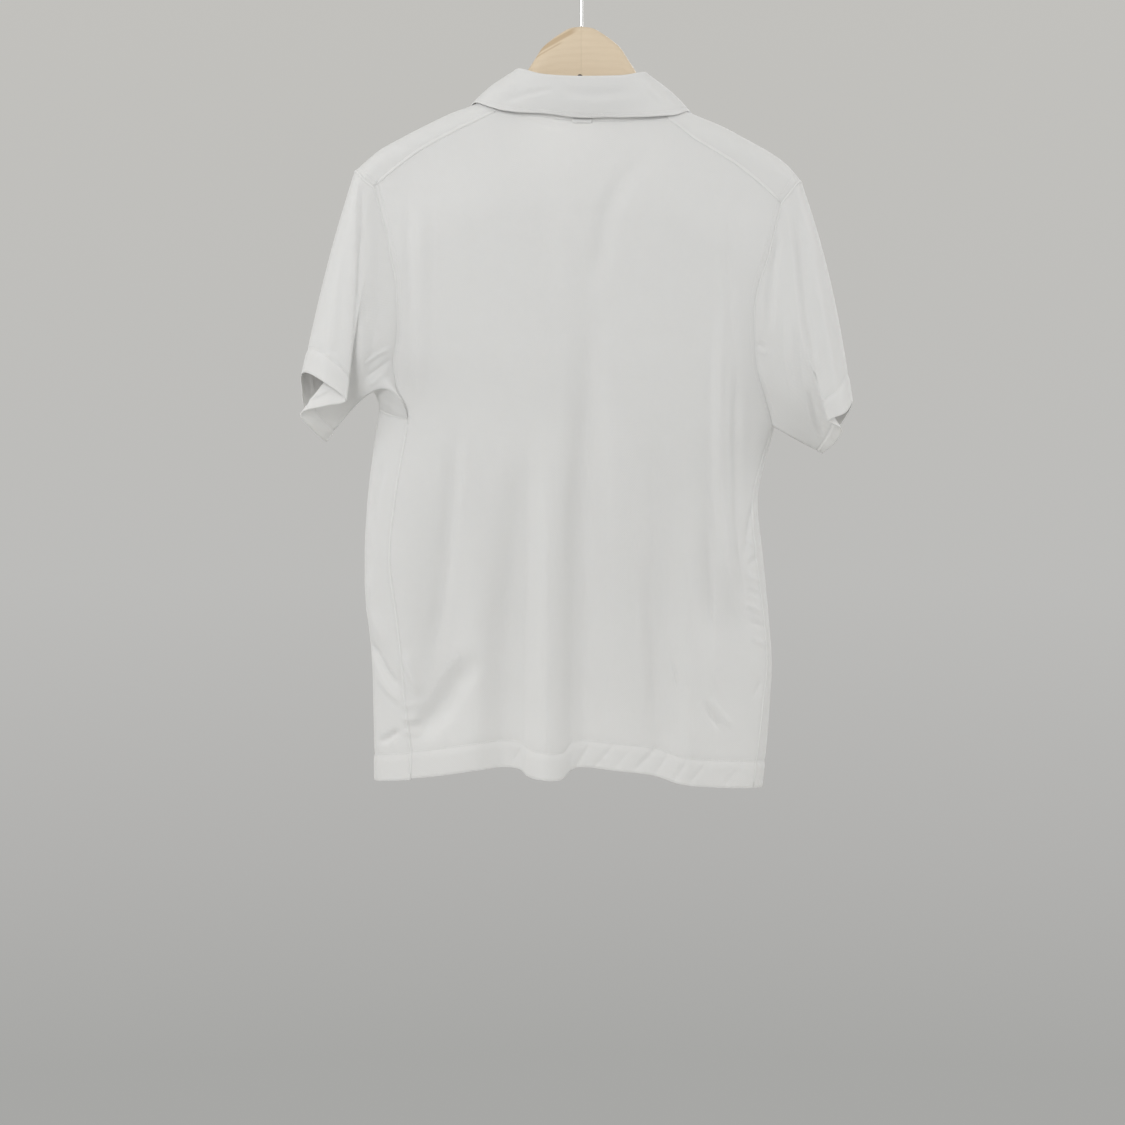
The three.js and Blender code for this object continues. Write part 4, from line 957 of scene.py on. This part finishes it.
def ridge_along(name, line, across, outward, scale=1.0):
    """A low rounded ridge of cloth along a line of points in millimetres."""
    outward = unit(outward)
    across = unit(across - outward * (across * outward).sum(-1, keepdims=True))
    angle = np.linspace(0, 2 * math.pi, SEAM["sides"] + 1)
    along = np.linspace(0, len(line) / SEAM["fade"], len(line))
    size = scale * mix(SEAM["end"], 1, ease(along) * ease(along[::-1]))[:, None, None]
    middle = line + outward * (WALL / 2 - SEAM["sunk"])
    grid = middle[:, None] + size * (
        SEAM["half"] * np.cos(angle)[:, None] * across[:, None]
        + SEAM["rise"] * np.sin(angle)[:, None] * outward[:, None])
    piece_of(name, closed_tube(grid, SEAM["sides"]), seam_knit, None)


def sewn_knit():
    finish = Finish("sewn_knit", **SOFT_CLOTH, Subsurface_Weight=0.2, Subsurface_Scale=0.003)
    grain = finish.noise(900.0)
    return finish.wears(
        Base_Color=finish.blend(grain, WHITE, WHITE_DEEP),
        Roughness=0.7 + grain * 0.15,
        Normal=finish.bump(grain, 0.0002, 0.4))


seam_knit = sewn_knit()
back_out, front_out = normals_of(back_cloth, False), normals_of(front_cloth, True)
for side, column, beside in (("left", 0, 2), ("right", -1, -3)):
    sleeve_cloth = sleeve_grids[side]
    sleeve_out = normals_of(sleeve_cloth, side == "right")[0]
    body_out = np.concatenate([back_out[BODY_ROWS:, column],
                               front_out[BODY_ROWS:, column][::-1][1:]])
    away = sleeve_cloth[3] - sleeve_cloth[0]
    ridge_along(f"armhole_seam_{side}", sleeve_cloth[0], away, sleeve_out + body_out)
    low = back_cloth[1:BODY_ROWS, column]
    away = back_cloth[1:BODY_ROWS, beside] - low
    ridge_along(f"side_seam_{side}", low, away, back_out[1:BODY_ROWS, column])
    span = slice(1, SHOULDER_COLUMNS) if side == "left" else slice(-SHOULDER_COLUMNS, -1)
    top = back_cloth[-1, span]
    both_out = back_out[-1, span] + front_out[-1, span]
    ridge_along(f"shoulder_seam_{side}", top, back_cloth[-3, span] - top, both_out,
                SHOULDER_SEAM)

# Collar
# A stand, and a fall that is sewn to it and turned down over it, of the same knit.
FOLD_LINE = {
    "at": [-0.2, 0, 0.2, 0.38, 0.5, 0.6, 0.72, 0.86, 1],
    "x": [-38, 0, 38, 60, 66, 67, 58, 36, 4],
    "y": [-32, -35, -32, -21, -9, 6, 26, 44, 54],
    "z": [-138.5, -141.5, -138.5, -131, -128.5, -131, -146, -174, -200],
}
FREE_EDGE = {
    "at": [-0.2, 0, 0.2, 0.36, 0.48, 0.56, 0.66, 0.78, 0.9, 1],
    "x": [-42, 0, 42, 78, 102, 116, 118, 106, 80, 50],
    "from_ridge": [-49, -56.5, -49, -41, -25, 0, 30, 64, 104, 138],
}
FALL_SETTLE = {
    "at": [-1, -0.7, -0.56, -0.46, -0.36, -0.22, -0.1, 0, 0.1, 0.2, 0.3, 0.38, 0.47, 0.56, 0.7,
           1],
    "lower": [0, 0, 2, 0.2, -2.1, -1.3, -1.3, -1.5, -1, 0.3, -1.5, -1.5, 3, 3, 0, 0],
}
COLLAR_CREASES = [
    ([(-92, -160), (-56, -149), (-24, -143)], 5, 6, -1.3),
    ([(-70, -134), (-78, -144), (-86, -152)], 8, 8, 1.0),
    ([(-30, -146), (18, -150), (64, -145)], 9, 9, -1.5),
    ([(62, -134), (78, -148), (94, -162)], 7, 8, 1.3),
]
ROLL_RADIUS = 2.2
COLLAR_BELLY = 3
COLLAR_LIFT = 4.5
COLLAR_TILT = 4
FALL_ROWS = 22
ROLL_ROWS = 9
STAND_ROWS = 10
MARGIN_ROW = 2
CALM_ROWS = 2

middle = COLUMNS // 2
neck = slice(SHOULDER_COLUMNS, COLUMNS - SHOULDER_COLUMNS + 1)
front_left = front_grid[-1, SHOULDER_COLUMNS + 1:middle + 1][::-1]
front_right = front_grid[-1, middle:COLUMNS - SHOULDER_COLUMNS][::-1]
collar_root = np.concatenate([front_left, back_grid[-1, neck], front_right])
collar_share = np.linspace(-1, 1, len(collar_root))
collar_at, collar_side = np.abs(collar_share), np.sign(collar_share)

tilt = np.where(collar_share > 0, COLLAR_TILT * ease(collar_at * 2) * ease(3 - 3 * collar_at), 0)
fold = np.stack([
    collar_side * read(FOLD_LINE, "at", collar_at, "x"),
    read(FOLD_LINE, "at", collar_at, "y"),
    read(FOLD_LINE, "at", collar_at, "z") - tilt,
], axis=-1)

stand_up = unit(fold - collar_root)
stand_out = unit(fold * (1, 1, 0))
stand_out = unit(stand_out - stand_up * (stand_out * stand_up).sum(-1, keepdims=True))

edge_x = collar_side * read(FREE_EDGE, "at", collar_at, "x")
edge_from = read(FREE_EDGE, "at", collar_at, "from_ridge")
edge_level = ridge_level(edge_x) - np.abs(edge_from)
edge_turn = np.where(edge_from < 0, turn_at(edge_x, edge_level, True),
                     turn_at(edge_x, edge_level, False))
edge_over = np.clip(edge_from / RIDGE_RADIUS, -QUARTER, QUARTER)
edge_out = np.stack([0 * edge_over, np.sin(edge_over), np.cos(edge_over)], axis=-1)
free_edge = body_point(edge_turn, edge_level) + edge_out * COLLAR_LIFT
free_edge[:, 2] -= read(FALL_SETTLE, "at", collar_share, "lower")

stand_grid = np.array([mix(collar_root, fold, t) for t in np.linspace(0, 1, STAND_ROWS + 1)])
fall_grid = []
for t in np.linspace(0, 1, FALL_ROWS + 1):
    row = mix(free_edge, fold + stand_out * 2 * ROLL_RADIUS, t)
    fall_grid.append(row + stand_out * COLLAR_BELLY * math.sin(math.pi * t))
for t in np.linspace(0, math.pi, ROLL_ROWS + 1)[1:]:
    row = fold + stand_out * ROLL_RADIUS * (1 + math.cos(t))
    fall_grid.append(row + stand_up * ROLL_RADIUS * math.sin(t))
fall_grid = np.array(fall_grid)
fall_out = normals_of(fall_grid, False)
fall_rise = crease_rise(fall_grid, fall_out, COLLAR_CREASES)
fall_rise[FALL_ROWS - CALM_ROWS:] = 0
fall_grid += fall_out * fall_rise[..., None]


def collar_stitches(grid, row):
    across, upward = lengths_over(grid)
    return across, np.abs(upward - upward[row])


stand = cloth_piece("collar_stand_cloth", stand_grid, False, collar_stitches(stand_grid, 1),
                    "collar_stand")
area_of(stand_grid)
fall = cloth_piece("collar_fall_cloth", fall_grid, False,
                   collar_stitches(fall_grid, MARGIN_ROW), "collar_fall")
area_of(fall_grid)

# Placket and buttons
# A doubled strip of the knit, stitched down along its edges, with three four-hole buttons
# that are sewn through it. Each button is turned from an outline of radii and heights.
PLACKET = {"half": 16, "rows": 48, "columns": 14, "wall": 1.6, "out": 2.05, "margin": 0.6}
BUTTON = {"sides": 48, "thread": 0.42, "thread_sides": 10, "thread_level": 0.55,
          "hole": 0.75, "hole_sides": 16, "hole_level": 0.48, "apart": 1.15, "reach": 2.3}
BUTTON_OUTLINE = [(0, -1.1), (4.6, -1.1), (5.3, -0.7), (5.5, 0), (5.35, 0.75), (4.9, 1.1),
                  (4.3, 1.02), (3.7, 0.55), (0, 0.45)]

neck_x = points_of(front_top_places)[neck, 0]
strip_x = np.linspace(-PLACKET["half"], PLACKET["half"], PLACKET["columns"] + 1)
strip_top = np.interp(strip_x, neck_x, front_top_places[neck, 1]) - PLACKET["margin"]
strip_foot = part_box("placket")[0].z * 1000
strip = np.array([
    points_of(place(turn_at(strip_x, level, False), level))
    for level in (mix(strip_foot, strip_top, t) for t in np.linspace(0, 1, PLACKET["rows"] + 1))])
strip += normals_of(strip, True) * PLACKET["out"]
_, strip_upward = lengths_over(strip)
placket = cloth_piece("placket_strip", strip, True, (strip_upward, seam_gap(strip, 1)),
                      "placket", PLACKET["wall"])


def pearl_white():
    finish = Finish("pearl_white_button", Coat_Roughness=0.1, Specular_IOR_Level=0.55)
    cloud = finish.noise(260.0, 3.0)
    return finish.wears(
        Base_Color=finish.blend(cloud, (0.86, 0.865, 0.86), (0.78, 0.785, 0.78)),
        Roughness=0.22 + cloud * 0.14, Coat_Weight=0.3,
        Normal=finish.bump(cloud, 0.00005, 0.3))


def sewing_thread():
    finish = Finish("sewing_thread", Sheen_Weight=0.3)
    twist = finish.noise(2600.0)
    return finish.wears(Base_Color=finish.blend(twist, THREAD, WHITE_DEEP),
                        Roughness=0.6 + twist * 0.2, Normal=finish.bump(twist, 0.0002, 0.6))


# Painted shade: the four holes of each button are flat near-black disks on its face, standing in
# for the shade inside the holes; the noise only mottles that dark
def button_hole_shade():
    finish = Finish("button_hole_shade")
    mottle = finish.noise(900.0)
    return finish.wears(Base_Color=finish.blend(mottle, (0.22, 0.22, 0.215), (0.3, 0.3, 0.29)),
                        Roughness=0.8)


pearl, thread, painted_hole_shade = pearl_white(), sewing_thread(), button_hole_shade()
for number in (1, 2, 3):
    low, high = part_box(f"button_{number}")
    centre = (low + high) / 2
    near = np.abs(strip[:, :, 2] / 1000 - centre.z).sum(axis=1).argmin()
    out = Vector(normals_of(strip, True)[near, PLACKET["columns"] // 2])
    turned = out.to_track_quat("Z", "X").to_matrix().to_4x4()
    turned.translation = centre
    button = bmesh.new()
    outline = [button.verts.new((r / 1000, 0, h / 1000)) for r, h in BUTTON_OUTLINE]
    edges = [button.edges.new(pair) for pair in zip(outline, outline[1:])]
    bmesh.ops.spin(button, geom=outline + edges, axis=(0, 0, 1), cent=(0, 0, 0),
                   angle=2 * math.pi, steps=BUTTON["sides"], use_merge=True)
    bmesh.ops.remove_doubles(button, verts=button.verts, dist=1e-6)
    bmesh.ops.recalc_face_normals(button, faces=button.faces)
    apart = BUTTON["apart"] / 1000
    for x in (-apart, apart):
        for y in (-apart, apart):
            # Each hole is a dark disk laid on the face: painted shade
            rim = bmesh.ops.create_circle(
                button, cap_ends=True, segments=BUTTON["hole_sides"],
                radius=BUTTON["hole"] / 1000)
            bmesh.ops.translate(button, verts=rim["verts"],
                                vec=(x, y, BUTTON["hole_level"] / 1000))
            for face in {face for vert in rim["verts"] for face in vert.link_faces}:
                face.material_index = 2
        across = bmesh.ops.create_cone(
            button, cap_ends=True, segments=BUTTON["thread_sides"],
            radius1=BUTTON["thread"] / 1000, radius2=BUTTON["thread"] / 1000,
            depth=BUTTON["reach"] * apart)
        bmesh.ops.rotate(button, verts=across["verts"], cent=(0, 0, 0),
                         matrix=Matrix.Rotation(QUARTER, 3, "X"))
        bmesh.ops.translate(button, verts=across["verts"],
                            vec=(x, 0, BUTTON["thread_level"] / 1000))
        for face in {face for vert in across["verts"] for face in vert.link_faces}:
            face.material_index = 1
    bmesh.ops.transform(button, matrix=turned, verts=button.verts)
    piece = piece_of(f"sewn_button_{number}", button, pearl, f"button_{number}")
    piece.data.materials.append(thread)
    piece.data.materials.append(painted_hole_shade)

# Neck tab
# A small flat loop of the knit, sewn into the neck seam below the collar.
TAB = {"left": -9.5, "right": 10.5, "top": -170, "foot": -187.4, "wall": 1.0, "out": 1.4,
       "columns": 10, "rows": 8}

tab_x = np.linspace(TAB["left"], TAB["right"], TAB["columns"] + 1)
tab_grid = np.array([
    points_of(place(turn_at(tab_x, level, True), level))
    for level in np.linspace(TAB["foot"], TAB["top"], TAB["rows"] + 1)])
tab_grid += normals_of(tab_grid, False) * TAB["out"]
tab = cloth_piece("neck_tab_loop", tab_grid, False, collar_stitches(tab_grid, 2), "neck_tab",
                  TAB["wall"])

# Hanger
# Two halves of pale maple that meet in the middle, with a high dome that carries the hook.
HANGER = {
    "x": [0, 12, 22, 33, 42, 49, 55, 62, 74, 88],
    "top": [-78.2, -80, -85.5, -93.3, -101.7, -112.6, -122, -133, -150, -163],
    "height": [83.8, 82.5, 77.5, 69.7, 62.3, 54.4, 48.5, 44, 40, 38],
    "half": [12, 12, 12, 12.3, 12.6, 13, 13, 13, 13, 13],
}
HANGER_ARM = {"from": 88, "to": 214, "height": 38, "end_height": 26, "half": 13, "end_half": 14}
HANGER_TIP = 9
HANGER_SPANS = {"dome": 60, "arm": 48, "tip": 10}
SHARP_EDGE = 50
DOME_DIP = {"depth": 5, "length": 28}
TIP_DIP = {"depth": 1.6, "length": 26}
RIDGE_CLEARANCE = 0.9
HALF_GAP = 0.03
WOOD_POWER = 0.78
WOOD_SIDES = 56
MAPLE = (0.825, 0.69, 0.52)
MAPLE_DEEP = (0.75, 0.615, 0.445)
MAPLE_FACET_SHADE = (0.56, 0.41, 0.25)
HOLE_SHADE = (0.035, 0.025, 0.018)
HOLE = {"x": -0.0016, "z": -0.1342, "radius": 0.003, "soft": 0.0003}
SLANT = {"x": -0.489, "z": 0.872}
# Painted shade: darker bands along the slanted edge of the left shoulder, where its chamfer lies
# in shade.
# Their limits across it and how soft these are, where they end towards the middle, and how dark
# they are
SHADED_FACETS = [
    ((-0.072, -0.0665, 0.0012), (-0.012, -0.002), 0.75),
    ((-0.0755, -0.0738, 0.0005), (-0.026, -0.018), 0.55),
]


def pale_maple():
    finish = Finish("pale_maple", Coat_Roughness=0.35, Specular_IOR_Level=0.4)
    place = finish.place()
    x, y, z = (finish.node("ShaderNodeSeparateXYZ", {}, {0: place}, k) for k in range(3))
    bow = x * x * 2.2 + finish.noise(16.0) * 0.02
    rings = ((z + bow) * 760 + y * 320).sine()
    stretch = finish.node("ShaderNodeVectorMath", {"operation": "MULTIPLY"},
                          {0: place, 1: (0.1, 1.0, 1.0)})
    fibre = finish.noise(480.0, 3.0, stretch)
    pores = finish.noise(1500.0, 1.0, stretch).between(0.62, 0.74)
    half = (1 - x.between(-0.0002, 0.0002)) * 0.14
    tone = rings.between(-0.6, 1.0) * 0.22 + fibre * 0.55 + pores * 0.2 + half
    # The edge mask below paints shade: darker bands where the slanted chamfer of the left shoulder
    # lies in shade, on the upper dome only
    slant = x * SLANT["x"] + z * SLANT["z"]
    wide, thin = (slant.band(*limits) * (1 - x.between(*ends)) * dark
                  for limits, ends, dark in SHADED_FACETS)
    edge = (wide + thin) * z.between(-0.118, -0.112)
    # Painted shade: a near-black disk on one face of the dome where the hook's screw hole is,
    # standing in for the shade inside the hole
    across, up = x - HOLE["x"], z - HOLE["z"]
    reach = (across * across + up * up).maths("SQRT")
    hole = 1 - reach.between(HOLE["radius"] - HOLE["soft"], HOLE["radius"] + HOLE["soft"])
    hole = hole * (1 - y.between(-0.001, 0.001))
    colour = finish.blend(edge, finish.blend(tone, MAPLE, MAPLE_DEEP), MAPLE_FACET_SHADE)
    return finish.wears(
        Base_Color=finish.blend(hole, colour, HOLE_SHADE),
        Roughness=0.42 + fibre * 0.2,
        Coat_Weight=0.2,
        Normal=finish.bump(fibre * 0.6 - pores * 0.5, 0.0002, 0.5))


def wood_ring(x, top, height, half):
    angle = np.linspace(0, 2 * math.pi, WOOD_SIDES + 1)
    y = half * signed_power(np.cos(angle), WOOD_POWER)
    z = top - height / 2 + height / 2 * signed_power(np.sin(angle), WOOD_POWER)
    return np.stack([np.full_like(y, x), y, z], axis=-1)


def hanger_half(side, finish):
    sign = SIGN[side]

    def under(x):
        dip = DOME_DIP["depth"] * ease((HANGER_ARM["from"] - x) / DOME_DIP["length"] + 1)
        dip += TIP_DIP["depth"] * ease((x - HANGER_ARM["to"]) / TIP_DIP["length"] + 1)
        return float(read(RIDGE, "x", sign * x, "z")) - WALL / 2 - RIDGE_CLEARANCE - dip

    dome = dict(HANGER, top=[*HANGER["top"][:-1], under(HANGER_ARM["from"])])
    rings = [
        wood_ring(sign * max(x, HALF_GAP), *(float(read(dome, "x", x, key))
                                             for key in ("top", "height", "half")))
        for x in np.linspace(0, HANGER_ARM["from"], HANGER_SPANS["dome"] + 1)[:-1]]
    for t in np.linspace(0, 1, HANGER_SPANS["arm"] + 1):
        x = mix(HANGER_ARM["from"], HANGER_ARM["to"], t)
        height = mix(HANGER_ARM["height"], HANGER_ARM["end_height"], t)
        half = mix(HANGER_ARM["half"], HANGER_ARM["end_half"], t)
        rings.append(wood_ring(sign * x, under(x), height, half))
    for angle in np.linspace(0, QUARTER, HANGER_SPANS["tip"] + 1)[1:-1]:
        x = HANGER_ARM["to"] + HANGER_TIP * math.sin(angle)
        height = HANGER_ARM["end_height"] * math.cos(angle)
        slope = (x - HANGER_ARM["to"]) / 2
        centre = under(HANGER_ARM["to"]) - HANGER_ARM["end_height"] / 2 - slope
        rings.append(wood_ring(sign * x, centre + height / 2, height,
                               HANGER_ARM["end_half"] * math.cos(angle)))
    made = closed_tube(np.array(rings), WOOD_SIDES)
    piece = piece_of(f"maple_half_{side}", made, finish, f"hanger_{side}")
    piece.data.set_sharp_from_angle(angle=math.radians(SHARP_EDGE))


maple = pale_maple()
for side in SIGN:
    hanger_half(side, maple)

# Hook
# A polished steel wire, screwed into the top of the hanger and bent round over the rail.
HOOK = {"wire": 1.75, "middle": 21, "radius": 23, "shaft_top": -50, "shaft_foot": -82,
        "joins": -68, "ends": 205, "reach": 6, "sides": 20, "tip": 0.98}
HOOK_SPANS = {"shaft": 6, "bend": 12, "crown": 60, "cap": 6}


def polished_steel():
    finish = Finish("polished_steel", Metallic=1.0)
    smear = finish.noise(120.0, 3.0)
    return finish.wears(
        Base_Color=finish.blend(smear, (0.88, 0.885, 0.89), (0.8, 0.805, 0.81)),
        Roughness=0.12 + smear * 0.16, Normal=finish.bump(smear, 0.00004, 0.3))


def hook_path():
    radius = HOOK["radius"]
    joins, ends = math.radians(HOOK["joins"]), math.radians(HOOK["ends"])

    def crown(angle):
        return np.stack([radius * np.cos(angle), 0 * angle,
                         -HOOK["middle"] + radius * np.sin(angle)], axis=-1)

    start = crown(np.array(joins))
    heading = np.array([-math.sin(joins), 0, math.cos(joins)])
    foot = np.array([0, 0, HOOK["shaft_top"]])
    rise = foot + np.array([0, 0, HOOK["reach"]])
    lead = start - heading * HOOK["reach"]
    t = np.linspace(0, 1, HOOK_SPANS["bend"] + 1)[:, None]
    bend = ((1 - t)**3 * foot + 3 * (1 - t)**2 * t * rise + 3 * (1 - t) * t**2 * lead
            + t**3 * start)
    shaft = np.linspace([0, 0, HOOK["shaft_foot"]], foot, HOOK_SPANS["shaft"] + 1)[:-1]
    angles = np.linspace(joins, ends, HOOK_SPANS["crown"] + 1)[1:]
    return np.concatenate([shaft, bend, crown(angles)])


path = hook_path()
heading = unit(np.gradient(path, axis=0))
cap = np.linspace(0, QUARTER, HOOK_SPANS["cap"] + 1)[1:]
path = np.concatenate([path, path[-1] + heading[-1] * HOOK["wire"] * np.sin(cap)[:, None]])
heading = np.concatenate([heading, np.repeat(heading[-1:], len(cap), axis=0)])
thick = np.full(len(path), HOOK["wire"])
thick[-len(cap):] = HOOK["wire"] * np.cos(HOOK["tip"] * cap)
round_wire = np.linspace(0, 2 * math.pi, HOOK["sides"] + 1)[:, None]
beside = np.stack([-heading[:, 2], 0 * heading[:, 1], heading[:, 0]], axis=-1)
wire = path[:, None] + thick[:, None, None] * (
    np.cos(round_wire) * beside[:, None] + np.sin(round_wire) * np.array([0, 1.0, 0]))
hook = closed_tube(wire, HOOK["sides"])
piece_of("steel_hook", hook, polished_steel(), "hook")

# Stage and light
# A plain pale floor, a grey room that darkens downwards, and soft lights on both sides.
FLOOR = {"half": 1.6, "level": -1.75}
ground = bmesh.new()
bmesh.ops.create_grid(ground, x_segments=1, y_segments=1, size=FLOOR["half"])
bmesh.ops.translate(ground, verts=ground.verts, vec=(0, 0, FLOOR["level"]))
floor_mesh = bpy.data.meshes.new("floor")
ground.to_mesh(floor_mesh)
ground.free()
floor = bpy.data.objects.new("floor", floor_mesh)
floor_finish = Finish("pale_floor")
grit = floor_finish.noise(40.0, 4.0)
floor_mesh.materials.append(floor_finish.wears(
    Base_Color=floor_finish.blend(grit, (0.64, 0.64, 0.62), (0.59, 0.59, 0.57)),
    Roughness=0.8 + grit * 0.15))
bpy.context.scene.collection.objects.link(floor)


def area_light(name, place, aim, size, power):
    data = bpy.data.lights.new(name, "AREA")
    data.shape = "DISK"
    data.size = size
    data.energy = power
    light = bpy.data.objects.new(name, data)
    light.location = place
    light.rotation_euler = (Vector(aim) - Vector(place)).to_track_quat("-Z", "Y").to_euler()
    bpy.context.scene.collection.objects.link(light)


# Where each light is, where it points, how wide it is and how strong
LIGHTS = {
    "key": [(-1.2, -2.35, 0.6), (0, 0, -0.45), 1.2, 24],
    "fill": [(1.8, -1.9, 0.1), (0, 0, -0.4), 1.6, 6],
    "side_left": [(-1.7, -0.15, -0.2), (-0.2, 0, -0.4), 0.8, 3],
    "side_right": [(1.7, -0.1, -0.2), (0.2, 0, -0.4), 0.8, 4],
    "behind": [(0.9, 2.4, 0.5), (0, 0, -0.45), 1.6, 22],
}
for name, values in LIGHTS.items():
    area_light(name, *values)

ROOM = [(0.27, (0.388, 0.388, 0.377)), (0.36, (0.44, 0.437, 0.427)),
        (0.49, (0.503, 0.5, 0.488)), (0.75, (0.537, 0.53, 0.507))]
world = bpy.data.worlds.new("studio")
world.use_nodes = True
room = Nodes(world.node_tree)
toward = room.node("ShaderNodeTexCoord", {}, {}, "Generated")
shades = room.node("ShaderNodeValToRGB", {},
                   {0: room.node("ShaderNodeSeparateXYZ", {}, {0: toward}, "Z") + 0.5})
stops = shades.socket.node.color_ramp.elements
for number, (at, colour) in enumerate(ROOM):
    stop = stops[number] if number < len(stops) else stops.new(at)
    stop.position = at
    stop.color = (*colour, 1)
room.feed(room.tree.nodes["Background"].inputs["Color"], shades)
bpy.context.scene.world = world
bpy.context.scene.view_settings.view_transform = "Standard"

# Width of what the camera takes in at the plane of the hanger
FRAME_WIDTH = 1192.5
lens = bpy.data.cameras.new("camera")
lens.sensor_width = 36
lens.lens = lens.sensor_width * CAMERA["away"] / FRAME_WIDTH
camera = bpy.data.objects.new("camera", lens)
camera.location = (CAMERA["x"] / 1000, -CAMERA["away"] / 1000, CAMERA["z"] / 1000)
camera.rotation_euler = (QUARTER, 0, 0)
bpy.context.scene.collection.objects.link(camera)
bpy.context.scene.camera = camera
